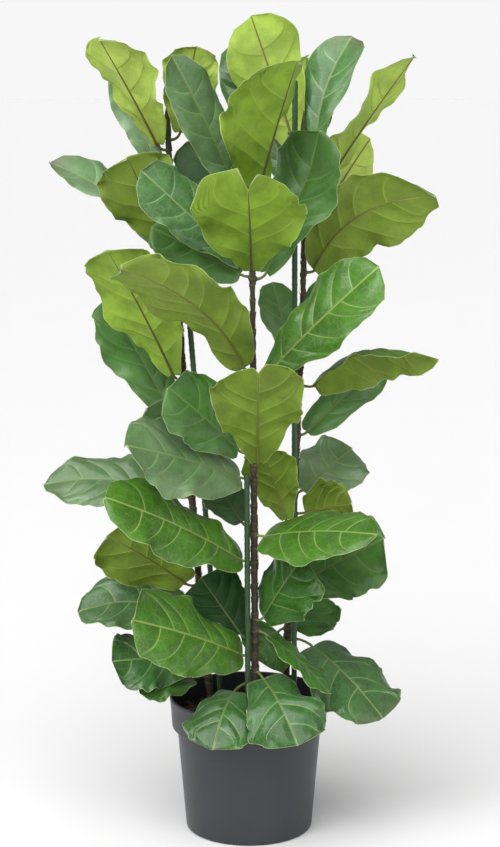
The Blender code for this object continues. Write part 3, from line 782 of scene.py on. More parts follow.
@dataclass(frozen=True)
class Leaf:
    """One leaf: where it leaves its stem, where its tip lies and how its blade is held and coloured."""

    name: str
    stem: str
    root: float
    tip: Point
    width: float
    faces: Point = (0.0, 0.0, 1.0)
    arch: float = 0.03
    fold: float = 12.0
    lean: float = 0.0
    hook: float = 0.0
    notch: float = 0.0
    age: float = 0.5
    wave: float = 1.0
    oval: float = 0.0
    wedge: float = 0.0
    sweep: float = 0.0
    stalk: float = 0.020
    leave: Optional[float] = None
    still: float = 0.0
    tone: Tone = Tone.BRIGHT
    # Painted light on the whole leaf, from -1 (painted shade) to 1 (painted sheen).
    painted_light: float = 0.0
    dry: float = 0.0

    @cached_property
    def phase(self) -> float:
        """A steady number for each leaf, so that no two are waved alike."""
        return sum(ord(c) * (i + 3) for i, c in enumerate(self.name)) % 97 / 97.0 * 2 * math.pi

    @cached_property
    def foot(self) -> tuple[Array, Array]:
        """Where the stalk meets its stem.

        Returns:
            The point on the stem, and the level direction in which the stalk leaves it.
        """
        stem = STEMS[self.stem]
        stake = STAKES[self.stem]
        centre = stem.at(self.root)
        aim = np.array(self.tip) - centre
        heading = math.atan2(aim[1], aim[0])
        if self.leave is not None:
            heading = math.radians(self.leave)
        elif self.root < stake.top[2] + 0.03:
            near = stake.at(min(self.root, stake.top[2])) - centre
            away = math.atan2(near[1], near[0])
            side = (heading - away + math.pi) % (2 * math.pi) - math.pi
            least = math.radians(LEAST_TURN)
            if abs(side) < least:
                heading = away + math.copysign(least, side)
        out = np.array([math.cos(heading), math.sin(heading), 0.0])
        return centre + out * (stem.radius(self.root) + SEAT_GAP), out

    @cached_property
    def axes(self) -> Axes:
        """Lay out what the leaf hangs on.

        Returns:
            Its fixed points and directions.
        """
        root, out = self.foot
        tip = np.array(self.tip)
        start = root + unit(out * 0.6 + unit(tip - root) * 0.7) * self.stalk
        along = unit(tip - start)
        face = np.array(self.faces, float)
        face = unit(face - along * np.dot(face, along))
        side = unit(np.cross(along, face))
        return Axes(root, out, start, tip, side, face, float(np.linalg.norm(tip - start)))

    def spine(self, t: Array) -> tuple[Array, Array]:
        """Midrib of the blade.

        Args:
            t: Shares of the blade's length.

        Returns:
            Points and directions of the midrib at t.
        """
        ax = self.axes
        span = ax.tip - ax.start
        rise = ax.face * (self.arch * ax.length) + ax.side * (self.sweep * ax.length)
        one = ax.start + span * 0.33 + rise
        two = ax.start + span * 0.67 + rise
        t = t[..., None]
        s = 1.0 - t
        point = ax.start * s ** 3 + one * (3 * s * s * t) + two * (3 * s * t * t) + ax.tip * t ** 3
        slope = (one - ax.start) * (3 * s * s) + (two - one) * (6 * s * t)
        slope = slope + (ax.tip - two) * (3 * t * t)
        bend = np.maximum(0.0, (t - 0.6) / 0.4)
        point = point - ax.face * (self.hook * ax.length * bend * bend)
        slope = slope - ax.face * (self.hook * ax.length * 2 * bend / 0.4)
        return point, unit(slope)

    def half_width(self, t: Array, fine: bool) -> Array:
        """Half the blade's width.

        Args:
            t: Shares of the blade's length.
            fine: Whether the outline is smooth and closes at both ends, or has the solid's corners.

        Returns:
            Half widths in metres.
        """
        tables = (FIDDLE, 1.0 - self.oval - self.wedge), (OVAL, self.oval), (WEDGE, self.wedge)
        if not fine:
            blend = sum(np.interp(t, *np.array(table).T) * share for table, share in tables)
            return self.width * 0.5 * blend
        blend = sum(smooth_table(CLOSED_BASE[:1] + table[1:], t) * share for table, share in tables)
        if self.notch:
            return self.width * 0.5 * blend
        closing = np.sqrt(np.clip(1.0 - ((t - 0.90) / 0.10).clip(0.0) ** 2, 0.0, 1.0))
        return self.width * 0.5 * blend * np.where(t > 0.90, closing * (1.0 + 0.6 * (t - 0.90) / 0.10), 1.0)

    def surface(self, t: Array, u: Array, fine: bool = True) -> tuple[Array, Array]:
        """Middle surface of the blade.

        Args:
            t: Shares along the blade.
            u: Shares across it, from -1 to 1.
            fine: Whether to add what is finer than the solid: smooth outline, round fold and frilled margin.

        Returns:
            Points and upper normals.
        """
        ax = self.axes
        point, slope = self.spine(t)
        normal = unit(np.cross(np.broadcast_to(ax.side, slope.shape), slope))
        edge = np.abs(u)
        hand = np.where(u > 0, 1.0, -1.0)
        scallop = 1.0 + SCALLOP * self.wave * np.sin(t * 15.0 + self.phase + hand * 1.3) * edge
        out = self.half_width(t, fine) * edge * scallop
        fold = np.radians(self.fold + hand * self.lean * np.minimum(1.0, t * 4.0)) * (1.0 - 0.35 * t)
        swell = RIPPLE * self.width * self.wave * edge * edge
        swell = swell * np.sin(t * 13.0 + self.phase * 2.0 + hand * 0.9) * np.minimum(1.0, t * 4.0)
        droop = DROOP * self.width * edge * edge * np.sin(math.pi * t)
        if fine:
            a, b = self.phase * 3.0 + hand, self.phase * 5.0 - hand
            fade = np.minimum(1.0, t * 5.0) * np.minimum(1.0, (1.0 - t) * 12.0)
            fade = fade * (1.0 - self.still)
            frill = np.sin(t * 27.0 + a) + 0.7 * np.sin(t * 43.0 + b)
            swell = swell + FRILL * self.width * self.wave * edge ** 4 * frill * fade
            ragged = np.abs(np.sin(t * 17.0 + b)) + 0.5 * np.abs(np.sin(t * 31.0 + a)) - 0.95
            out = out * (1.0 + RAGGED * self.wave * ragged * edge ** 3 * fade)
        lobe = min(0.030 * ax.length, LOBE) * min(1.0, self.stalk / 0.020) * (1.7 if fine else 1.0)
        back = -lobe * edge ** 1.5 * np.maximum(0.0, 1.0 - t / 0.16)
        crest = self.notch * ax.length * edge * np.maximum(0.0, (t - 0.8) / 0.2)
        crest = crest * (1.25 - 0.30 * edge ** 3) if fine else crest
        raised = np.sqrt(out * out + FOLD_ROUNDING ** 2) - FOLD_ROUNDING if fine else out
        place = point + np.outer((hand * out * np.cos(fold)).ravel(), ax.side).reshape(point.shape)
        place = place + normal * (raised * np.sin(fold) + swell - droop)[..., None]
        return place + slope * (back + crest)[..., None], normal

    def nudged(self, swing: float, lift: float, twist: float) -> "Leaf":
        """Turn the leaf about its root by small angles.

        Args:
            swing: Turn to the side in degrees.
            lift: Turn upwards in degrees.
            twist: Turn about its own length in degrees.

        Returns:
            The turned leaf.
        """
        root = Vector(self.foot[0])
        arm = Vector(self.tip) - root
        heading = Vector((arm.x, arm.y, 0.0)).normalized()
        level = heading.cross(Vector((0.0, 0.0, 1.0)))
        turn = Quaternion((0.0, 0.0, 1.0), math.radians(swing)) @ Quaternion(level, math.radians(lift))
        arm = turn @ arm
        face = Quaternion(arm.normalized(), math.radians(twist)) @ (turn @ Vector(self.faces))
        return replace(self, tip=tuple(root + arm), faces=tuple(face))

    def settled(self, node: str) -> "Leaf":
        """The leaf turned as its solid was, to hang clear of its neighbours.

        Args:
            node: Name of the leaf's solid in the frame.

        Returns:
            The turned leaf.

        Raises:
            ValueError: If no small turn lays the leaf on its solid.
        """
        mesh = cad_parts[node].data
        corners = np.zeros(len(mesh.vertices) * 3, np.float32)
        mesh.vertices.foreach_get("co", corners)
        corners = corners.reshape(-1, 3)
        turns = [(abs(swing) + abs(lift) + abs(twist) / 3, swing, lift, twist)
                 for swing in SWINGS for lift in LIFTS for twist in TWISTS]
        t = np.repeat([0.30, 0.76, 1.0], 2)
        u = np.tile([-1.0, 1.0], 3)
        for _, swing, lift, twist in sorted(turns):
            trial = self.nudged(swing, lift, twist)
            place, normal = trial.surface(t, u, fine=False)
            place = place + normal * (BLADE_THICKNESS / 2)
            gap = np.linalg.norm(corners[None] - place[:, None], axis=2).min(axis=1).max()
            if gap < SAME_PLACE:
                return trial
        raise ValueError("no turn lays leaf %s on its solid" % self.name)

    # --- fine mesh ------------------------------------------------------------------------
    @property
    def vein_count(self) -> int:
        """Side veins on each side of the midrib."""
        return int(min(6, max(4, round(self.axes.length / 0.042))))

    def vein_marks(self, hand: float) -> Array:
        """Find where side veins leave the midrib.

        Args:
            hand: 1 for those on the right, -1 for those on the left.

        Returns:
            Shares of the blade's length.
        """
        k = np.arange(self.vein_count)
        marks = 0.012 + 0.86 * (k / self.vein_count) ** 1.1
        marks[1:] += 0.026 * np.sin(self.phase * 3.0 + 2.4 * k[1:] + hand)
        if hand < 0:
            marks[1:] += 0.42 * 0.86 / self.vein_count
        return marks

    def sheared(self, row: Array, u: Array) -> Array:
        """Shares along the blade on lines that leave the midrib as side veins do.

        Args:
            row: Shares at which the lines leave the midrib.
            u: Shares across the blade.

        Returns:
            Shares along the blade.
        """
        edge = np.abs(u)
        steep = 0.52 + 0.16 * math.sin(self.phase * 7.0)
        lean = self.half_width(row, False) / self.axes.length * (steep * edge + 0.62 * edge ** 2.6)
        hold = np.minimum(1.0, 0.35 + row / 0.30) * np.minimum(1.0, (1.0 - row) / 0.45)
        return np.minimum(row + lean * hold, 1.0 - (1.0 - row) * 0.2)

    def rows(self) -> Array:
        """Place the mesh's rows: three at each side vein, and four between.

        Returns:
            Shares of the midrib that they leave from.
        """
        half = 0.0011 / self.axes.length
        marks = np.concatenate([self.vein_marks(1.0), self.vein_marks(-1.0)[1:]])
        marks.sort()
        between = np.concatenate([marks[:-1] + (marks[1:] - marks[:-1]) * f for f in (0.2, 0.4, 0.6, 0.8)])
        ends = np.array([0.0, 0.006, 0.945, 0.965, 0.98, 0.99, 0.996, 1.0])
        rows = np.concatenate([ends, marks - half, marks, marks + half, between])
        return np.unique(np.round(rows[(rows >= 0.0) & (rows <= 1.0)], 5))

    def vein_field(self, row: Array, u: Array, t: Array) -> tuple[Array, Array]:
        """Find how the side veins cross the blade.

        Args:
            row: Shares at which the mesh's rows leave the midrib.
            u: Shares across the blade.
            t: Shares along the blade.

        Returns:
            Distance to the nearest vein in metres, and the share of the bulge between two veins.
        """
        rib = np.full(t.shape, 1.0)
        bulge = np.zeros(t.shape)
        for hand in (1.0, -1.0):
            marks = self.vein_marks(hand)
            lines = self.sheared(marks[:, None, None] * np.ones_like(t), np.broadcast_to(u, t.shape))
            apart = np.abs(lines - t[None]).min(axis=0) * self.axes.length * 0.78
            stops = np.concatenate([[0.0], marks, [1.0]])
            k = np.clip(np.searchsorted(stops, row, side="right") - 1, 0, len(stops) - 2)
            share = np.clip((row - stops[k]) / (stops[k + 1] - stops[k]), 0.0, 1.0)
            here = u > 0 if hand > 0 else u < 0
            rib = np.where(here, apart, rib)
            bulge = np.where(here, np.sin(math.pi * share) ** 1.3, bulge)
        return np.where(u == 0, 0.01, rib), bulge

    def piece(self) -> bpy.types.Object:
        """Make the leaf's fine mesh: two skins joined at the rim, and a stalk that runs on as the midrib.

        Returns:
            The leaf's object.
        """
        length = self.axes.length
        across = np.concatenate([-ACROSS[:0:-1], ACROSS])
        row, u = np.meshgrid(self.rows(), across, indexing="ij")
        t = self.sheared(row, u)
        middle, normal = self.surface(t, u)
        rib, bulge = self.vein_field(row, u, t)
        half = self.half_width(t, True)
        mid = half * np.abs(u)
        rim = np.minimum(half * (1.0 - np.abs(u)), (1.0 - t) * length)
        pucker = bulge * PUCKER * ease(mid, 0.001, 0.012) * ease(rim, 0.0, 0.014)
        pucker = pucker * min(1.0, self.width / 0.10)
        middle = middle + normal * pucker[..., None]

        facing = unit(np.cross(np.gradient(middle, axis=1), np.gradient(middle, axis=0)))
        facing = np.where(np.sum(facing * normal, axis=2, keepdims=True) < 0, -facing, facing)
        facing = np.where(np.isfinite(facing), facing, normal)
        thick = RIM_HALF + (BLADE_THICKNESS / 2 - RIM_HALF) * ease(rim, 0.0, 0.003)
        ridge = np.clip(1.0 - rib / 0.0012, 0.0, 1.0) * ease(rim, 0.002, 0.02)
        groove = np.clip(1.0 - mid / 0.0022, 0.0, 1.0)
        upper = middle + facing * (thick - VEIN_SUNK * ridge - MIDRIB_SUNK * groove)[..., None]
        lower = middle - facing * (thick + VEIN_RAISED * ridge)[..., None]

        blade = np.stack([half * u, t * length, np.full(t.shape, self.phase * 0.4)], axis=-1)
        # The leaf's painted light and shade go to the materials as a trait, with the others.
        traits = {"blade": blade, "rib": rib, "mid": mid, "rim": rim, "dry": self.dryness(blade, mid, rim),
                  "painted_light": np.full(t.shape, self.painted_light)}
        shell = Shell()
        top = shell.patch(upper, Skin.UPPER, flip=True, traits=traits, split=True)
        bottom = shell.patch(lower, Skin.UNDER, traits=traits, split=True)
        index = np.arange(t.size).reshape(t.shape)
        border = np.concatenate([index[0, :], index[1:, -1], index[-1, -2::-1], index[-2::-1, 0]])
        shell.seam(top + border, bottom + border, Skin.UNDER)
        self.add_stalk(shell)
        return shell.object("leaf_%s_fine" % self.name, FINISHES[self.tone].materials(self.tone))

    def dryness(self, blade: Array, mid: Array, rim: Array) -> Array:
        """Find how dried the blade is: its tip, and specks on the margin of older leaves.

        Args:
            blade: Places on the blade.
            mid: Distances from the midrib.
            rim: Distances from the margin.

        Returns:
            Shares from 0 to 1.
        """
        length = self.axes.length
        along = blade[..., 1] + 0.25 * mid
        tip = self.dry * ease(along, length * (1.0 - 0.10 * max(self.dry, 0.2)) - 0.004, length)
        speck = ease(-rim, -0.004, 0.0) * 0.55 * (ripple_noise(blade, 0.045, 5) > 0.75)
        return np.maximum(tip, speck * min(1.0, self.age + 0.3))

    def add_stalk(self, shell: Shell) -> None:
        """Add the stalk and, under the blade, the midrib that it runs into.

        Args:
            shell: Mesh under way.
        """
        ax = self.axes
        first = self.spine(np.array([0.0]))[1][0]
        f = np.linspace(0.0, 1.0, 9)[:-1, None]
        reach = self.stalk
        b0 = ax.root - ax.out * 0.0008
        b1 = ax.root + ax.out * (reach * 0.42)
        b2 = ax.start - first * (reach * 0.36)
        curve = b0 * (1 - f) ** 3 + b1 * 3 * f * (1 - f) ** 2 + b2 * 3 * f * f * (1 - f) + ax.start * f ** 3
        t = np.array([0.0, 0.02, 0.05, 0.1, 0.16, 0.23, 0.31, 0.4, 0.49, 0.58, 0.67, 0.75, 0.83, 0.9, 0.955,
                      0.985])
        under, normal = self.surface(t, np.zeros_like(t))
        size = PETIOLE_RADIUS * (0.22 + 0.78 * (1.0 - t) ** 0.9)
        size[-1] *= 0.4
        sink = np.interp(t, [0.0, 0.05, 1.0], [0.0, 0.55, 0.75])
        under = under - normal * (BLADE_THICKNESS * 0.35 + size * (1 - sink))[:, None]
        path = np.concatenate([curve, under])
        share = f[:, 0]
        radii = PETIOLE_RADIUS * (0.92 + 0.35 * (1 - share) ** 4 + 0.10 * share ** 3)
        rings = sweep(path, np.concatenate([radii, size]), 10)
        steps = np.linalg.norm(np.diff(path, axis=0), axis=1)
        along = np.concatenate([[0.0], np.cumsum(steps)])[:, None] * np.ones(10)
        girth = np.broadcast_to(ring_angles(10) * 0.002, along.shape)
        blade = np.stack([girth, along, np.full(along.shape, self.phase)], axis=-1)
        shell.tube(rings, Skin.STALK, {"blade": blade})

    @property
    def slot(self) -> str:
        """Material slot of the leaf's age."""
        return "leaf_young" if self.age < 0.3 else "leaf_grown" if self.age < 0.7 else "leaf_old"


# `tip` is a point and `faces` the way the upper side looks. `arch`, `sweep`, `hook` and `notch` are shares
# of the length, `fold` and `lean` degrees. `leave` is the heading of the stalk where it isn't the tip's own.
# `age` runs from 0 (new) to 1 (old). `still` is how far the margin's frill is held back where it hangs
# close to a neighbour.
# A leaf's painted light runs from -1 (painted shade) to 1 (painted sheen).
LEAVES: list[Leaf] = [
    # lowest leaves, round the pot's rim
    Leaf("low_front_left", "front", 0.236, (-0.052, -0.155, 0.170), 0.104, (-0.1, -0.8, 0.7), 0.19, 4,
         stalk=0.032, leave=180, still=1.0, age=0.8, tone=Tone.GREY),
    Leaf("low_front_right", "front", 0.254, (0.070, -0.160, 0.178), 0.124, (0.1, -0.8, 0.7), 0.16, 4,
         leave=-60, age=0.7, tone=Tone.GREY),
    Leaf("low_bright_left", "front", 0.276, (-0.165, -0.185, 0.372), 0.134, (0.2, -1.0, 0.8), 0.05, 4,
         wedge=0.25, oval=0.2, stalk=0.014, age=0.45, tone=Tone.BRIGHT),
    Leaf("low_right", "right", 0.282, (0.199, -0.062, 0.187), 0.142, (0.2, -0.5, 1.0), 0.12, 2,
         oval=0.4, sweep=0.04, stalk=0.036, leave=25, age=0.85, tone=Tone.GREY, painted_light=0.2, dry=0.3),
    Leaf("low_edge_right", "front", 0.316, (0.119, -0.100, 0.236), 0.070, (0.2, 0.0, 1.0), 0.06, 10,
         oval=0.6, age=0.8, tone=Tone.DEEP, painted_light=-0.1, dry=0.2),
    Leaf("low_strip_left", "left", 0.222, (-0.164, -0.010, 0.208), 0.066, (0.0, -0.4, 1.0), 0.10, 4,
         oval=0.5, age=1.0, tone=Tone.DEEP, painted_light=0.4),
    Leaf("low_dark_left", "left", 0.250, (-0.207, 0.000, 0.256), 0.118, (0.0, -0.9, 0.8), 0.05, 6,
         oval=0.3, age=1.0, tone=Tone.GREY),
    Leaf("low_grey_left", "left", 0.315, (-0.260, 0.030, 0.325), 0.115, (0.1, -1.0, 1.0), 0.06, 30,
         oval=0.8, sweep=0.14, age=0.9, tone=Tone.GREY, painted_light=0.3),
    Leaf("low_shade_centre", "front", 0.300, (-0.072, 0.000, 0.386), 0.100, (0.2, -1.0, 0.4), 0.03, 6,
         age=1.0, tone=Tone.SHADE),
    Leaf("low_shade_right", "right", 0.290, (0.109, 0.150, 0.324), 0.112, (0.0, -1.0, 0.6), 0.03, 6,
         oval=0.6, stalk=0.014, age=1.0, tone=Tone.DEEP),
    Leaf("low_shade_middle", "right", 0.300, (0.010, -0.004, 0.262), 0.100, (0.0, -1.0, 0.2), 0.03, 6,
         oval=0.6, stalk=0.013, age=1.0, tone=Tone.DEEP, painted_light=0.3),
    # lower storey
    Leaf("lower_bright_left", "front", 0.420, (-0.201, -0.185, 0.549), 0.124, (0.3, -0.8, 0.8), 0.05,
         6, wedge=0.3, oval=0.3, stalk=0.014, age=0.5, tone=Tone.BRIGHT),
    Leaf("lower_bright_right", "front", 0.461, (0.180, -0.165, 0.491), 0.126, (0.0, -0.6, 1.0), 0.05,
         2, wave=0.5, oval=0.9, stalk=0.014, age=0.35, tone=Tone.BRIGHT),
    Leaf("lower_centre_right", "front", 0.333, (0.083, -0.080, 0.443), 0.150, (-0.2, -1.0, 0.5), 0.03,
         5, wave=1.1, wedge=0.5, oval=0.2, stalk=0.014, leave=-50, age=0.7, tone=Tone.DEEP, painted_light=-0.6),
    Leaf("lower_dark_right", "right", 0.368, (0.200, -0.030, 0.454), 0.134, (-0.2, -1.0, 0.6), 0.03, 5,
         wedge=0.3, oval=0.3, stalk=0.013, age=0.85, tone=Tone.DEEP, painted_light=0.5),
    Leaf("lower_olive_left", "left", 0.364, (-0.210, -0.030, 0.459), 0.130, (0.0, 1.0, 0.5), 0.03, 8,
         wedge=0.3, oval=0.2, age=0.6, tone=Tone.OLIVE),
    Leaf("lower_grey_left", "left", 0.500, (-0.312, 0.060, 0.516), 0.106, (0.0, -0.8, 1.0), 0.05, 10,
         oval=0.8, sweep=0.10, age=0.9, tone=Tone.GREY, painted_light=0.7),
    Leaf("lower_olive_centre", "right", 0.462, (0.024, -0.060, 0.575), 0.084, (0.0, 1.0, 0.5), 0.02,
         10, wedge=0.6, leave=-110, stalk=0.024, age=0.4, tone=Tone.OLIVE),
    Leaf("lower_olive_right", "right", 0.477, (0.147, 0.000, 0.495), 0.120, (-0.2, 1.0, 0.3), 0.03, 10,
         wedge=0.3, oval=0.4, stalk=0.013, leave=10, age=0.5, tone=Tone.OLIVE),
    Leaf("lower_grey_right", "right", 0.508, (0.160, 0.140, 0.556), 0.110, (-0.1, -1.0, 0.8), 0.03, 8,
         wedge=0.3, oval=0.3, stalk=0.013, age=0.85, tone=Tone.GREY, painted_light=0.8),
    # middle storey
    Leaf("mid_front", "front", 0.566, (0.013, -0.195, 0.726), 0.130, (0.0, 1.0, 0.8), 0.02, 10,
         wave=1.1, notch=0.1, wedge=0.95, leave=-70, age=0.35, tone=Tone.OLIVE, painted_light=0.3),
    Leaf("mid_grey_left", "front", 0.545, (-0.173, -0.145, 0.615), 0.136, (0.0, -0.8, 1.0), 0.04, 6,
         wedge=0.4, oval=0.4, stalk=0.016, age=0.9, tone=Tone.GREY, painted_light=0.7),
    Leaf("mid_small_left", "left", 0.545, (-0.150, -0.050, 0.652), 0.095, (0.2, -1.0, 0.5), 0.03, 8,
         wedge=0.4, oval=0.3, age=0.85, tone=Tone.DEEP, painted_light=0.9),
    Leaf("mid_folded_left", "front", 0.582, (-0.115, -0.110, 0.692), 0.110, (0.1, -1.0, 0.6), 0.05, 16,
         wedge=0.5, oval=0.2, age=0.75, tone=Tone.DEEP, painted_light=0.45),
    Leaf("mid_olive_left", "front", 0.706, (-0.177, -0.165, 0.867), 0.152, (0.3, 1.0, 0.3), 0.02, 16,
         wave=1.2, wedge=0.6, lean=24, oval=0.35, sweep=-0.14, stalk=0.017, leave=-120, age=0.25,
         tone=Tone.OLIVE, painted_light=0.45),
    Leaf("mid_bright_right", "front", 0.690, (0.183, -0.100, 0.863), 0.108, (-0.5, -1.0, 0.5), 0.04,
         10, wedge=0.7, oval=0.2, stalk=0.014, leave=10, age=0.55, tone=Tone.BRIGHT),
    Leaf("mid_level_right", "right", 0.672, (0.275, -0.030, 0.717), 0.100, (0.0, 0.65, 0.85), 0.14,
         -34, oval=1.0, sweep=0.23, stalk=0.018, age=0.5, tone=Tone.OLIVE, painted_light=0.4),
    Leaf("mid_dark_right", "right", 0.597, (0.217, 0.100, 0.711), 0.072, (-0.5, -1.0, 0.4), 0.03, 8,
         oval=0.6, stalk=0.013, age=0.9, tone=Tone.DEEP, painted_light=0.4),
    Leaf("mid_long_left", "left", 0.680, (-0.203, -0.060, 0.884), 0.130, (0.3, 0.8, 0.4), 0.03, 18,
         wave=1.2, wedge=0.7, oval=0.2, age=0.15, tone=Tone.LIME, painted_light=0.2),
    Leaf("mid_dark_left", "left", 0.612, (-0.217, 0.095, 0.795), 0.110, (0.4, -0.8, 0.5), 0.03, 10,
         wedge=0.4, oval=0.3, age=0.8, tone=Tone.DEEP, painted_light=0.5),
    Leaf("mid_back_centre", "right", 0.690, (0.035, 0.115, 0.819), 0.064, (0.4, -1.0, 0.4), 0.03, 8,
         wedge=0.6, age=0.9, tone=Tone.DEEP, painted_light=0.6),
    Leaf("mid_back_right", "right", 0.705, (0.106, 0.150, 0.820), 0.062, (0.0, -1.0, 0.3), 0.02, 8,
         wedge=0.6, age=0.7, tone=Tone.DEEP),
    Leaf("mid_shade_left", "front", 0.470, (-0.050, 0.010, 0.530), 0.070, (0.2, -1.0, 0.5), 0.02, 8,
         age=0.8, tone=Tone.SHADE, painted_light=0.5),
    # upper storey
    Leaf("upper_heart", "front", 0.846, (-0.001, -0.190, 0.977), 0.158, (0.0, 1.0, 0.9), 0.03, 12,
         wave=1.2, wedge=0.95, notch=0.2, age=0.2, tone=Tone.LIME),
    Leaf("upper_right", "right", 0.842, (0.267, -0.040, 0.960), 0.134, (-0.2, 1.0, 0.35), 0.02, 8,
         wave=1.2, wedge=0.4, oval=0.6, sweep=0.22, stalk=0.013, age=0.3, tone=Tone.OLIVE, painted_light=0.45),
    Leaf("upper_dark_fold", "front", 0.838, (0.112, -0.020, 1.045), 0.120, (-0.5, -1.0, 0.4), 0.02, 14,
         wedge=0.7, hook=-0.12, age=0.8, tone=Tone.DEEP, painted_light=0.45),
    Leaf("upper_left", "left", 0.864, (-0.295, 0.060, 1.001), 0.096, (0.1, -1.0, 1.0), 0.03, 30,
         lean=-24, wedge=0.3, oval=0.6, sweep=0.12, age=0.7, tone=Tone.BLUE, painted_light=0.9, dry=0.7),
    Leaf("upper_olive_left", "left", 0.880, (-0.187, -0.030, 1.014), 0.128, (0.3, 1.0, 0.2), 0.02, 10,
         wedge=0.5, oval=0.3, age=0.4, tone=Tone.OLIVE, painted_light=0.6),
    Leaf("upper_pale_left", "front", 0.856, (-0.151, -0.100, 0.998), 0.088, (0.3, -1.0, 0.5), 0.02, 10,
         wedge=0.6, age=0.55, tone=Tone.BLUE),
    Leaf("upper_dark_left", "front", 0.842, (-0.140, -0.040, 0.914), 0.096, (0.0, -1.0, 0.6), 0.03, 8,
         wedge=0.3, oval=0.4, stalk=0.014, age=0.95, tone=Tone.DEEP, painted_light=0.6),
    Leaf("upper_pale_right", "right", 0.900, (0.183, 0.135, 1.034), 0.075, (-0.4, 1.0, 0.4), 0.02, 10,
         wedge=0.5, age=0.05, tone=Tone.FRESH, painted_light=0.9),
    Leaf("upper_shade_left", "front", 0.925, (-0.092, 0.050, 1.030), 0.100, (0.2, -1.0, 0.2), 0.02, 8,
         oval=0.5, stalk=0.014, leave=150, age=0.9, tone=Tone.SHADE, painted_light=0.4),
    # crown
    Leaf("crown_centre", "front", 0.955, (0.066, -0.140, 1.150), 0.190, (-0.4, 1.0, 0.1), 0.02, 40,
         wedge=0.6, lean=-42, oval=0.3, age=0.15, tone=Tone.LIME),
    Leaf("crown_left", "left", 1.020, (-0.213, -0.020, 1.180), 0.136, (0.5, 0.8, 0.4), 0.02, 22,
         wedge=0.8, lean=20, oval=0.2, age=0.0, tone=Tone.FRESH, painted_light=0.5),
    Leaf("crown_pale_left", "left", 0.985, (-0.201, 0.070, 1.135), 0.054, (0.3, -1.0, 0.2), 0.02, 12,
         wedge=0.2, oval=0.5, leave=170, age=0.7, tone=Tone.BLUE, painted_light=1.0),
    Leaf("crown_dark_left", "front", 0.950, (-0.108, -0.075, 1.157), 0.080, (0.4, -1.0, 0.3), 0.03, 12,
         wedge=0.3, oval=0.5, age=0.85, tone=Tone.GREY, painted_light=0.6),
    Leaf("crown_back_left", "left", 1.035, (-0.077, 0.030, 1.170), 0.086, (-0.2, 1.0, 0.2), 0.02, 10,
         leave=-20, wedge=0.6, oval=0.2, age=0.05, tone=Tone.FRESH, painted_light=0.3, dry=0.3),
    Leaf("crown_top", "right", 1.010, (0.003, 0.115, 1.215), 0.112, (0.0, 1.0, 0.3), 0.02, 8, wave=1.5,
         wedge=0.6, leave=120, still=1.0, age=0.0, tone=Tone.FRESH),
    Leaf("crown_blue_right", "right", 1.005, (0.149, 0.100, 1.185), 0.084, (-0.2, -1.0, 0.3), 0.02, 22,
         lean=18, wedge=0.8, sweep=-0.1, leave=30, still=1.0, age=0.6, tone=Tone.BLUE, dry=0.6),
    Leaf("crown_narrow_right", "right", 0.945, (0.236, -0.020, 1.156), 0.104, (-0.7, 0.7, 0.5), 0.02,
         24, lean=-18, wave=1.3, wedge=0.3, oval=0.5, age=0.1, tone=Tone.FRESH, dry=0.5, painted_light=0.3),
    Leaf("crown_light_right", "right", 0.985, (0.087, 0.145, 1.154), 0.090, (0.0, 1.0, 0.2), 0.02, 8,
         wedge=0.4, leave=80, age=0.0, tone=Tone.FRESH, painted_light=1.0),
    Leaf("crown_sliver", "right", 0.950, (-0.022, 0.130, 1.179), 0.090, (0.3, -1.0, 0.3), 0.02, 14,
         wedge=0.5, leave=130, age=0.6, tone=Tone.BLUE, painted_light=-0.6),
]


# --- stems and stakes -------------------------------------------------------------------------
@dataclass(frozen=True)
class BarkFinish:
    """Brown ringed bark that turns green near the growing tip."""

    old: str = "46392a"
    young: str = "4a5a2c"
    crack: str = "18130c"
    scar: str = "84745a"

    def material(self) -> bpy.types.Material:
        """Bark with fine lengthwise cracks, pale scars and corky specks.

        Returns:
            The material.
        """
        r = Recipe("stem_bark")
        bark = r.trait("bark", vector=True)
        age = r.trait("wood")
        scar = r.trait("scar")
        cloud = r.noise(bark, 90.0, 4.0, 0.65)
        grain = r.noise(r.stretched(bark, 0.16), 900.0, 4.0, 0.65)
        skin = r.mix(r.span(age, 0.15, 0.9), paint(self.young), paint(self.old))
        skin = r.mix(r.span(cloud, 0.3, 0.75, 0.0, 0.55), skin, paint(self.crack))
        skin = r.mix(r.span(grain, 0.52, 0.72, 0.0, 0.7), skin, paint(self.crack))
        corky = r.mix(cloud, paint(self.crack), paint(self.scar))
        skin = r.mix(r.span(scar, 0.2, 0.9, 0.0, 0.7), skin, corky)
        pores = r.net(bark, 420.0)
        skin = r.mix(r.span(pores, 0.0, 0.05, 0.35, 0.0), skin, paint(self.scar, 0.8))
        relief = r.bump(grain, 0.0009, 0.8)
        relief = r.bump(cloud, 0.0012, 0.6, relief)
        return r.finish(Base_Color=skin, Roughness=r.span(grain, 0.2, 0.8, 0.62, 0.9), Normal=relief)


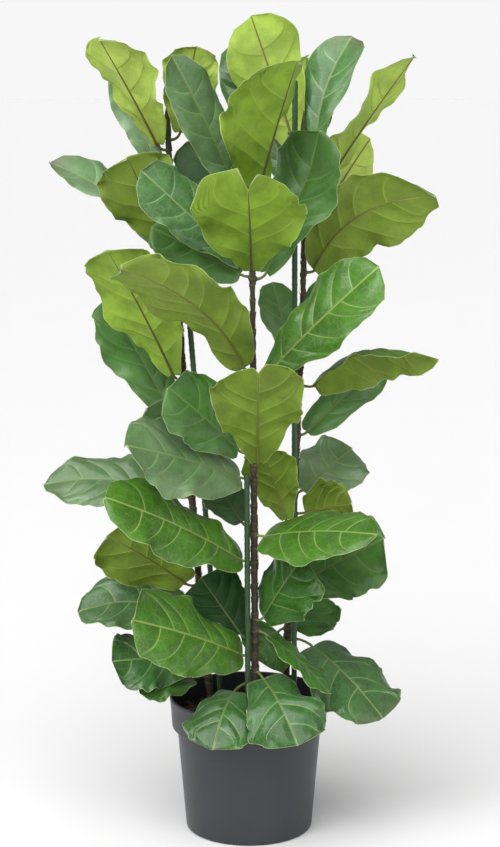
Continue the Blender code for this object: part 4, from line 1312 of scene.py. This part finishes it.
@dataclass
class StemPiece:
    """One stem's fine mesh: knotted ringed bark, a collar under each leaf, dry sheath fibres and a bud."""

    name: str
    roots: list[tuple[float, float]]
    sides: int = 24
    step: float = 0.0016
    scar_depth: float = 0.0008
    knot: float = 0.0011
    collar: float = 0.0018
    groove: float = 0.0005
    roughness: float = 0.00035
    bud_foot: float = 0.030
    bud_length: float = 0.058
    fibres: int = 5
    bare_below: float = 0.24
    fibre_length: tuple[float, float] = (0.005, 0.015)
    fibre_size: tuple[float, float] = (0.0004, 0.0009)
    fibre_spring: float = 0.0006

    def heights(self) -> Array:
        """Heights of the mesh's rings from under the soil to the foot of the bud."""
        top = STEMS[self.name].top - self.bud_foot
        return np.linspace(FINE_START, top, int((top - FINE_START) / self.step))

    def ring_heights(self, draw: np.random.Generator) -> list[float]:
        """Place the rings that fallen and living leaves leave on the bark.

        Args:
            draw: Source of the fallen leaves' places.

        Returns:
            Heights, those of the living leaves first.
        """
        rings = [height for height, _ in self.roots]
        spare = FINE_START
        while spare < STEMS[self.name].top - 0.05:
            spare += draw.uniform(0.011, 0.026)
            rings.append(spare)
        return rings

    def girth(self, path: Array, angle: Array, rings: list[float],
              draw: np.random.Generator) -> tuple[Array, Array]:
        """Shape the bark: scars with a groove above and a knot below, collars under leaves, and roughness.

        Args:
            path: Points of the stem's centre line.
            angle: Angles of the points in a ring.
            rings: Heights of the scars.
            draw: Source of each scar's wander.

        Returns:
            Radius at each point, and the share of scar on it.
        """
        stem = STEMS[self.name]
        z = path[:, 2:]
        radius = np.array([stem.radius(h) for h in path[:, 2]])[:, None] * np.ones(self.sides)
        radius *= 1.0 - 0.08 * ease(z, 0.2, stem.top)
        scar = np.zeros_like(radius)
        for height in rings:
            wander = 0.0012 * np.sin(angle + draw.uniform(0, 6.28))
            near = bell(z - height - wander, 0.0011)
            side = 0.6 + 0.4 * np.cos(angle - draw.uniform(0, 6.28))
            radius += near * self.scar_depth
            radius -= self.groove * bell(z - height - wander - 0.003, 0.0012)
            radius += self.knot * side * bell(z - height + 0.004, 0.0045)
            scar = np.maximum(scar, near)
        for height, heading in self.roots:
            near = bell(z - height, 0.0034) * np.cos(angle - heading).clip(0.0) ** 3
            radius += near * self.collar
            scar = np.maximum(scar, near * 0.8)
        radius += self.roughness * ripple_noise(path[:, None] + 0.006 * level_circle(angle), 0.02, 3)
        return radius, scar

    def build(self, bark: bpy.types.Material) -> bpy.types.Object:
        """Make the stem.

        Args:
            bark: Its material.

        Returns:
            The stem's object.
        """
        stem = STEMS[self.name]
        draw = np.random.default_rng(SEED + len(self.name))
        rings = self.ring_heights(draw)
        z = self.heights()
        path = np.array([stem.at(h) for h in z])
        angle = ring_angles(self.sides)
        radius, scar = self.girth(path, angle, rings, draw)
        skin = path[:, None] + radius[..., None] * level_circle(angle)
        wood = 1.0 - ease(z, stem.top - 0.30, stem.top - 0.02)[:, None] * np.ones(self.sides)

        shell = Shell()
        first = shell.patch(skin, wrap=True, traits={"bark": skin, "wood": wood, "scar": scar})
        shell.cap(first, self.sides, flip=True)
        self.add_bud(shell, skin[-1], stem)
        for height in rings:
            for _ in range(self.fibres if height > self.bare_below else 0):
                self.add_fibre(shell, min(height, stem.top - 0.04) + draw.uniform(-0.003, 0.003), draw)
        return shell.object("stem_%s_fine" % self.name, [bark])

    def add_fibre(self, shell: Shell, height: float, draw: np.random.Generator) -> None:
        """Add one dry strand of a leaf sheath that clings to the bark and springs off it at its end.

        Args:
            shell: Mesh under way.
            height: Height of its foot.
            draw: Source of its length, lean and place round the stem.
        """
        stem = STEMS[self.name]
        turn = draw.uniform(0, 2 * math.pi)
        length = draw.uniform(*self.fibre_length)
        spring = draw.uniform(0.0, self.fibre_spring)
        twist = draw.uniform(-0.5, 0.5)
        path = []
        for share in np.linspace(0.0, 1.0, 5):
            z = height + length * share
            around = turn + twist * share
            reach = stem.radius(z) + 0.0006 + spring * share ** 2
            path.append(stem.at(z) + reach * level_circle(np.array(around)))
        rings = sweep(np.array(path), np.linspace(draw.uniform(*self.fibre_size), 0.00012, 5), 5)
        plain = np.ones(rings.shape[:2])
        pale = plain * draw.uniform(0.3, 1)
        shell.tube(rings, traits={"bark": rings, "wood": plain, "scar": pale})

    def add_bud(self, shell: Shell, ring: Array, stem: Stem) -> None:
        """Add the pointed sheath of the growing tip on the stem's last ring.

        Args:
            shell: Mesh under way.
            ring: Last ring of the stem.
            stem: Path of the stem.
        """
        share = np.linspace(0.0, 1.0, 14)
        rise = np.array([-0.030, -0.012, 0.006, 0.020, 0.028])
        size = np.array([1.0, 1.42, 1.15, 0.55, 0.12])
        z = stem.top - self.bud_foot + self.bud_length * share
        width = np.interp(z - stem.top, rise, size) * stem.radius(stem.top)
        angle = ring_angles(self.sides)
        seam = 1.0 + 0.10 * np.cos(2 * angle)[None] * np.sin(math.pi * share)[:, None]
        rings = []
        for height, radius, wide in zip(z, width, seam):
            centre = stem.at(min(height, stem.top))
            centre[2] = height
            rings.append(centre + radius * np.stack([wide * np.cos(angle), np.sin(angle) / wide,
                                                     np.zeros(self.sides)], axis=-1))
        rings = np.array(rings)
        rings[0] = ring
        wood = (0.35 - 0.35 * share)[:, None] * np.ones(self.sides)
        scar = bell(share - 0.12, 0.05)[:, None] * np.ones(self.sides)
        first = shell.patch(rings, wrap=True, traits={"bark": rings, "wood": wood, "scar": scar})
        shell.cap(first + 13 * self.sides, self.sides)


@dataclass(frozen=True)
class CoatingFinish:
    """Dark green plastic skin of a stake, dulled and scuffed."""

    body: str = "284a26"
    worn: str = "4c7046"
    dirt: str = "2b2a1c"

    def material(self) -> bpy.types.Material:
        """Dull moulded plastic with scuffs and soil splashes near the foot.

        Returns:
            The material.
        """
        r = Recipe("stake_coating")
        where = r.place()
        cloud = r.noise(where, 60.0, 4.0, 0.6)
        streak = r.noise(r.stretched(where, 0.1), 500.0, 3.0)
        skin = r.mix(r.span(cloud, 0.3, 0.7), paint(self.body, 0.8), paint(self.body, 1.15))
        skin = r.mix(r.span(streak, 0.55, 0.75, 0.0, 0.5), skin, paint(self.worn))
        skin = r.mix(r.span(r.trait("nub"), 0.3, 1.0, 0.0, 0.4), skin, paint(self.worn))
        low = r.span(r.node("SeparateXYZ", {0: where}).outputs["Z"], 0.19, 0.27, 0.8, 0.0)
        splash = r.sum("MULTIPLY", low, r.span(r.noise(where, 240.0, 3.0), 0.45, 0.6))
        skin = r.mix(splash, skin, paint(self.dirt))
        relief = r.bump(r.noise(where, 700.0, 3.0), 0.0003, 0.5)
        return r.finish(Base_Color=skin, Roughness=r.span(cloud, 0.3, 0.7, 0.42, 0.58), Normal=relief)


@dataclass
class StakePiece:
    """One coated stake with small staggered nubs and a rounded cap."""

    name: str
    sides: int = 20
    step: float = 0.0022
    nub_pitch: float = 0.011
    nub_height: float = 0.00045

    def build(self, coating: bpy.types.Material) -> bpy.types.Object:
        """Make the stake.

        Args:
            coating: Its material.

        Returns:
            The stake's object.
        """
        stake = STAKES[self.name]
        cap = STAKE_RADIUS * 0.8
        arc = np.linspace(0.0, 0.97, 7)
        z = np.arange(FINE_START, stake.top[2] - cap, self.step)
        round_off = np.concatenate([np.ones(len(z)), np.cos(arc * math.pi / 2)])
        z = np.concatenate([z, stake.top[2] - cap * (1 - np.sin(arc * math.pi / 2))])
        angle = ring_angles(self.sides)
        row = np.cos(2 * math.pi * z / self.nub_pitch)[:, None]
        nub = np.clip(row * np.cos(4 * angle)[None], 0.0, 1.0) ** 3
        radius = (STAKE_RADIUS - self.nub_height * 0.5 + self.nub_height * nub) * round_off[:, None]
        centre = np.array([stake.at(h) for h in z])
        shell = Shell()
        shell.tube(centre[:, None] + radius[..., None] * level_circle(angle), traits={"nub": nub})
        return shell.object("stake_%s_fine" % self.name, [coating])


# --- soil -------------------------------------------------------------------------------------
@dataclass(frozen=True)
class SoilFinish:
    """Dark damp peat with paler fibres."""

    peat: str = "2a2016"
    damp: str = "120e0a"
    fibre: str = "6a5136"

    def material(self) -> bpy.types.Material:
        """Crumbly peat.

        Returns:
            The material.
        """
        r = Recipe("potting_soil")
        where = r.place()
        cloud = r.noise(where, 70.0, 5.0, 0.7)
        crumb = r.net(where, 260.0)
        fine = r.noise(where, 900.0, 4.0, 0.7)
        skin = r.mix(r.span(cloud, 0.3, 0.7), paint(self.damp), paint(self.peat, 1.3))
        skin = r.mix(r.span(fine, 0.62, 0.75, 0.0, 0.8), skin, paint(self.fibre))
        woody = r.mix(fine, paint(self.peat), paint(self.fibre))
        skin = r.mix(r.span(r.trait("chip"), 0.5, 1.0, 0.0, 0.7), skin, woody)
        relief = r.bump(r.span(crumb, 0.0, 0.35), 0.0016, 0.9)
        relief = r.bump(fine, 0.0008, 0.8, relief)
        return r.finish(Base_Color=skin, Roughness=r.span(cloud, 0.2, 0.8, 0.75, 0.98), Normal=relief)


@dataclass
class SoilPiece:
    """Peat in the pot: an uneven top strewn with crumbs and bark chips."""

    crumbs: int = 1300
    crumb_size: tuple[float, float] = (0.0008, 0.0026)
    crumb_flatness: tuple[float, float] = (0.6, 1.0)
    chips: int = 170
    chip_size: tuple[float, float] = (0.0022, 0.0052)
    chip_flatness: tuple[float, float] = (0.22, 0.4)
    columns: int = 150
    relief: float = 0.0026

    def outline(self) -> Array:
        """Outline of the body, from the middle of its underside to the middle of its top.

        Returns:
            Radius and height pairs.
        """
        step = POT_HEIGHT - RIM_DEPTH
        gap = SEAT_GAP + 0.0003
        sides = [(0.001, FLOOR_THICKNESS + SEAT_GAP), (BASE_RADIUS - 0.0075, FLOOR_THICKNESS + SEAT_GAP),
                 (BASE_RADIUS - 0.0030, 0.0085), (BODY_TOP_RADIUS - WALL - gap, step + 0.0034),
                 (RIM_RADIUS - 0.0062 - gap, step + 0.0049), (RIM_RADIUS - 0.0050 - gap, SOIL_TOP - 0.004)]
        top = [(r, SOIL_TOP - 0.001) for r in np.linspace(RIM_RADIUS - 0.0058, 0.0008, 62)]
        return np.array(sides + top)

    def rise(self, xy: Array) -> Array:
        """Find how far the uneven top stands above its level.

        Args:
            xy: Places on the top.

        Returns:
            Heights in metres.
        """
        flat = np.concatenate([xy, np.zeros(xy.shape[:-1] + (1,))], axis=-1)
        radius = np.linalg.norm(xy, axis=-1)
        lumps = ripple_noise(flat, 0.050, 11) + 0.55 * ripple_noise(flat, 0.016, 12)
        lumps = lumps + 0.3 * ripple_noise(flat, 0.006, 13)
        return self.relief * 0.6 * lumps - 0.003 * ease(radius, 0.085, 0.115)

    def build(self, peat: bpy.types.Material) -> bpy.types.Object:
        """Make the soil.

        Args:
            peat: Its material.

        Returns:
            The soil's object.
        """
        rings = lathe(self.outline(), self.columns)
        top = slice(6, None)
        rings[top, :, 2] += self.rise(rings[top, :, :2])
        shell = Shell()
        shell.tube(rings, traits={"chip": np.zeros(rings.shape[:2])})
        self.strew(shell)
        return shell.object("soil_fine", [peat])

    def strew(self, shell: Shell) -> None:
        """Lay crumbs and flat chips of bark on the top.

        Args:
            shell: Mesh under way.
        """
        draw = np.random.default_rng(SEED)
        angle = ring_angles(6)
        rows = np.array([-0.92, -0.35, 0.35, 0.92])
        for i in range(self.crumbs + self.chips):
            chip = i >= self.crumbs
            radius = (RIM_RADIUS - 0.010) * math.sqrt(draw.uniform(0.0, 1.0))
            turn = draw.uniform(0, 2 * math.pi)
            xy = np.array([radius * math.cos(turn), radius * math.sin(turn)])
            size = draw.uniform(*(self.chip_size if chip else self.crumb_size))
            flat = draw.uniform(*(self.chip_flatness if chip else self.crumb_flatness))
            width = np.sqrt(1.0 - rows ** 2)[:, None] * draw.uniform(0.75, 1.25, (4, 6))
            body = np.stack([width * np.cos(angle) * (1.6 if chip else 1.0), width * np.sin(angle),
                             rows[:, None] * flat * np.ones(6)], axis=-1) * size
            spin = Quaternion(Vector(draw.normal(size=3)).normalized(), draw.uniform(0, 0.6))
            spin = spin @ Quaternion((0.0, 0.0, 1.0), draw.uniform(0, 6.28))
            body = body @ np.array(spin.to_matrix()).T
            height = SOIL_TOP - 0.001 + float(self.rise(xy)) + size * flat * 0.45
            body = body + np.array([xy[0], xy[1], height])
            shell.tube(body, traits={"chip": np.full((4, 6), 1.0 if chip else draw.uniform(0, 0.7))})


# --- pot --------------------------------------------------------------------------------------
@dataclass(frozen=True)
class PotFinish:
    """Dark grey moulded plastic with a satin finish."""

    body: str = "2c2e33"
    scuff: str = "55575c"

    def material(self) -> bpy.types.Material:
        """Satin plastic with fine moulding lines, dust and scuffs.

        Returns:
            The material.
        """
        r = Recipe("pot_plastic")
        where = r.place()
        cloud = r.noise(where, 14.0, 4.0, 0.6)
        flow = r.noise(r.stretched(where, 14.0), 9.0, 5.0, 0.6)
        skin = r.mix(r.span(cloud, 0.3, 0.7), paint(self.body, 0.88), paint(self.body, 1.12))
        skin = r.mix(r.span(flow, 0.55, 0.85, 0.0, 0.08), skin, paint(self.scuff))
        dust = r.noise(where, 380.0, 3.0, 0.7)
        skin = r.mix(r.span(dust, 0.62, 0.8, 0.0, 0.35), skin, paint(self.scuff))
        fine = r.bump(r.noise(where, 1300.0, 2.0), 0.00008, 0.6)
        relief = r.bump(flow, 0.0003, 0.1, fine)
        return r.finish(Base_Color=skin, Roughness=r.span(cloud, 0.25, 0.75, 0.36, 0.50), Normal=relief,
                        Specular_IOR_Level=0.5)


@dataclass
class PotPiece:
    """Round tapered nursery pot with a deep rim band, a rolled lip and drain holes."""

    sides: int = 168
    corner: float = 0.0011

    def outline(self) -> Array:
        """Outline of the pot, from the middle of its underside round to the middle of its floor.

        Returns:
            Radius and height pairs.
        """
        step = POT_HEIGHT - RIM_DEPTH
        slope = (BODY_TOP_RADIUS - BASE_RADIUS) / (step - 0.0035)
        points = [(0.0006, 0.0), (0.030, 0.0), (0.080, 0.0), (BASE_RADIUS - 0.0035, 0.0),
                  (BASE_RADIUS - 0.0010, 0.0010), (BASE_RADIUS, 0.0035)]
        points += [(BASE_RADIUS + slope * (z - 0.0035), z) for z in np.linspace(0.012, step - 0.010, 16)]
        points += [(BODY_TOP_RADIUS, step), (RIM_RADIUS - 0.0050, step + 0.0010),
                   (RIM_RADIUS - 0.0036, step + 0.0030), (RIM_RADIUS - 0.0031, step + 0.010),
                   (RIM_RADIUS - 0.0018, step + 0.030),
                   (RIM_RADIUS - 0.0008, POT_HEIGHT - 0.0085), (RIM_RADIUS - 0.0001, POT_HEIGHT - 0.0060),
                   (RIM_RADIUS, POT_HEIGHT - 0.0015), (RIM_RADIUS - 0.0010, POT_HEIGHT),
                   (RIM_RADIUS - 0.0026, POT_HEIGHT), (RIM_RADIUS - 0.0034, POT_HEIGHT - 0.0015),
                   (RIM_RADIUS - 0.0062, step + 0.0045), (BODY_TOP_RADIUS - WALL, step + 0.0030),
                   (BASE_RADIUS - 0.0022, 0.0075), (BASE_RADIUS - 0.0062, FLOOR_THICKNESS),
                   (0.070, FLOOR_THICKNESS), (0.0006, FLOOR_THICKNESS)]
        return self.softened(points)

    def softened(self, points: list[tuple[float, float]]) -> Array:
        """Cut each corner back on both sides and put a point between, so that the outline turns softly.

        Args:
            points: Radius and height pairs.

        Returns:
            The softer outline.
        """
        points = np.array(points)
        result = [points[0]]
        for before, here, after in zip(points, points[1:], points[2:]):
            back = before - here
            on = after - here
            cut = min(self.corner, 0.35 * np.linalg.norm(back), 0.35 * np.linalg.norm(on))
            one = here + unit(back) * cut
            two = here + unit(on) * cut
            result += [one, here * 0.5 + (one + two) * 0.25, two]
        return np.array(result + [points[-1]])

    def build(self, plastic: bpy.types.Material) -> bpy.types.Object:
        """Make the pot and cut its drain holes.

        Args:
            plastic: Its material.

        Returns:
            The pot's object.
        """
        shell = Shell()
        shell.tube(lathe(self.outline(), self.sides))
        pot = shell.object("pot_fine", [plastic])
        cutter = self.drain_cutter()
        hole = pot.modifiers.new("drain_holes", "BOOLEAN")
        hole.operation = "DIFFERENCE"
        hole.solver = "EXACT"
        hole.object = cutter
        bpy.context.view_layer.update()
        graph = bpy.context.evaluated_depsgraph_get()
        mesh = bpy.data.meshes.new_from_object(pot.evaluated_get(graph))
        pot.modifiers.clear()
        pot.data = mesh
        bpy.data.objects.remove(cutter)
        return pot

    def drain_cutter(self) -> bpy.types.Object:
        """Round pins that stand through the pot's floor.

        Returns:
            One object with all the pins.
        """
        shell = Shell()
        for i in range(DRAIN_HOLES):
            turn = 2 * math.pi * (i + 0.3) / DRAIN_HOLES
            pin = lathe(np.array([(DRAIN_RADIUS, -0.003), (DRAIN_RADIUS, 0.007)]), 28)
            shell.tube(pin + np.array([DRAIN_RING * math.cos(turn), DRAIN_RING * math.sin(turn), 0.0]))
        return shell.object("drain_cutter", [])


# --- studio -----------------------------------------------------------------------------------
@dataclass(frozen=True)
class Lamp:
    """One soft panel light, aimed at the plant."""

    name: str
    place: Point
    size: tuple[float, float]
    power: float

    def hang(self, aim: Vector) -> None:
        """Add the light to the scene.

        Args:
            aim: Point that it faces.
        """
        data = bpy.data.lights.new(self.name, "AREA")
        data.shape = "RECTANGLE"
        data.size, data.size_y = self.size
        data.energy = self.power
        lamp = bpy.data.objects.new(self.name, data)
        lamp.location = self.place
        lamp.rotation_mode = "QUATERNION"
        lamp.rotation_quaternion = (aim - lamp.location).to_track_quat("-Z", "Y")
        bpy.context.scene.collection.objects.link(lamp)


@dataclass
class Studio:
    """Pale floor, soft light and the viewer's camera."""

    camera_place: Point = (0.0015, -3.0, 1.15)
    camera_pitch: float = -10.0
    lens: float = 87.56
    floor_radius: float = 60.0
    floor_tints: tuple[str, str] = ("f9f9f9", "fbfbfb")
    horizon: float = 0.93
    ceiling: float = 0.30
    haze: tuple[float, float] = (0.04, 0.17)
    overhead: float = 2.8
    overhead_spread: float = 70.0
    overhead_tilt: tuple[float, float] = (34.0, -14.0)
    lamps: tuple[Lamp, ...] = (
        Lamp("key", (-1.9, -2.2, 2.3), (1.2, 1.8), 22.0),
        Lamp("fill", (2.3, -1.9, 1.5), (0.9, 1.8), 8.0),
    )

    def floor(self) -> None:
        """Wide pale round floor."""
        radii = (0.02, 0.5, 2.0, 8.0, self.floor_radius)
        shell = Shell()
        first = shell.patch(lathe(np.array([(r, -0.0002) for r in radii]), 96), wrap=True, flip=True)
        shell.cap(first, 96)
        r = Recipe("studio_floor")
        cloud = r.noise(r.place(), 3.0, 3.0)
        colour = r.mix(cloud, *(paint(code) for code in self.floor_tints))
        r.finish(Base_Color=colour, Roughness=r.span(cloud, 0.0, 1.0, 0.72, 0.8))
        shell.object("studio_floor", [r.material])

    def air(self) -> None:
        """Surroundings that are pale at the horizon and dimmer above, so that gloss has something to show."""
        world = bpy.data.worlds.new("studio_air")
        world.use_nodes = True
        nodes = world.node_tree.nodes
        wire = world.node_tree.links.new
        height = nodes.new("ShaderNodeSeparateXYZ")
        wire(nodes.new("ShaderNodeTexCoord").outputs["Generated"], height.inputs[0])
        fall = nodes.new("ShaderNodeMapRange")
        fall.interpolation_type = "SMOOTHSTEP"
        wire(height.outputs["Z"], fall.inputs["Value"])
        for socket, value in zip(("From Min", "From Max", "To Min", "To Max"),
                                 (*self.haze, self.horizon, self.ceiling)):
            fall.inputs[socket].default_value = value
        wire(fall.outputs["Result"], nodes["Background"].inputs["Color"])
        bpy.context.scene.world = world

    def overhead_light(self) -> None:
        """Broad even light from above and a little in front."""
        data = bpy.data.lights.new("overhead", "SUN")
        data.energy = self.overhead
        data.angle = math.radians(self.overhead_spread)
        lamp = bpy.data.objects.new("overhead", data)
        lamp.rotation_euler = (*(math.radians(tilt) for tilt in self.overhead_tilt), 0.0)
        bpy.context.scene.collection.objects.link(lamp)

    def camera(self) -> None:
        """Camera in front of the plant, looking slightly down."""
        data = bpy.data.cameras.new("viewer")
        data.sensor_width = 36.0
        data.lens = self.lens
        data.clip_end = 200.0
        camera = bpy.data.objects.new("viewer", data)
        camera.location = self.camera_place
        camera.rotation_euler = (math.radians(90.0 + self.camera_pitch), 0.0, 0.0)
        bpy.context.scene.collection.objects.link(camera)
        bpy.context.scene.camera = camera

    def set_up(self) -> None:
        """Make the floor, the light and the camera."""
        self.camera()
        self.floor()
        self.air()
        self.overhead_light()
        low, high = SOLID_BOUNDS
        for lamp in self.lamps:
            lamp.hang((low + high) / 2)
        bpy.context.scene.view_settings.view_transform = "Standard"


# --- the whole plant --------------------------------------------------------------------------
@dataclass
class PottedFig:
    """Every piece of the potted plant, in the place of its solid."""

    leaves: list[Leaf]
    bark: BarkFinish = field(default_factory=BarkFinish)
    coating: CoatingFinish = field(default_factory=CoatingFinish)
    peat: SoilFinish = field(default_factory=SoilFinish)
    plastic: PotFinish = field(default_factory=PotFinish)

    def dress(self, obj: bpy.types.Object, node: str) -> None:
        """Let a piece stand for its solid.

        Args:
            obj: The piece.
            node: The solid's name.
        """
        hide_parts(node)
        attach(obj, "root")
        log.info("%s: %d faces", obj.name, len(obj.data.polygons))

    def build_pot(self) -> None:
        """Make the pot and its soil."""
        self.dress(PotPiece().build(self.plastic.material()), "pot")
        self.dress(SoilPiece().build(self.peat.material()), "soil")

    def build_stems(self) -> None:
        """Make the stems and the stakes beside them."""
        bark = self.bark.material()
        coating = self.coating.material()
        for name in STEMS:
            roots = [(leaf.root, math.atan2(leaf.foot[1][1], leaf.foot[1][0]))
                     for leaf in self.leaves if leaf.stem == name]
            self.dress(StemPiece(name, roots).build(bark), "stem_" + name)
            self.dress(StakePiece(name).build(coating), "stake_" + name)

    def build_leaves(self) -> None:
        """Make the leaves, each turned as its solid is."""
        for leaf in self.leaves:
            node = "leaf_" + leaf.name
            self.dress(leaf.settled(node).piece(), node)


def main() -> None:
    """Build the studio and the plant, and log each piece's face count."""
    logging.basicConfig(level=logging.INFO, format="%(message)s")
    Studio().set_up()
    plant = PottedFig(LEAVES)
    plant.build_pot()
    plant.build_stems()
    plant.build_leaves()


if __name__ == "__main__":
    main()
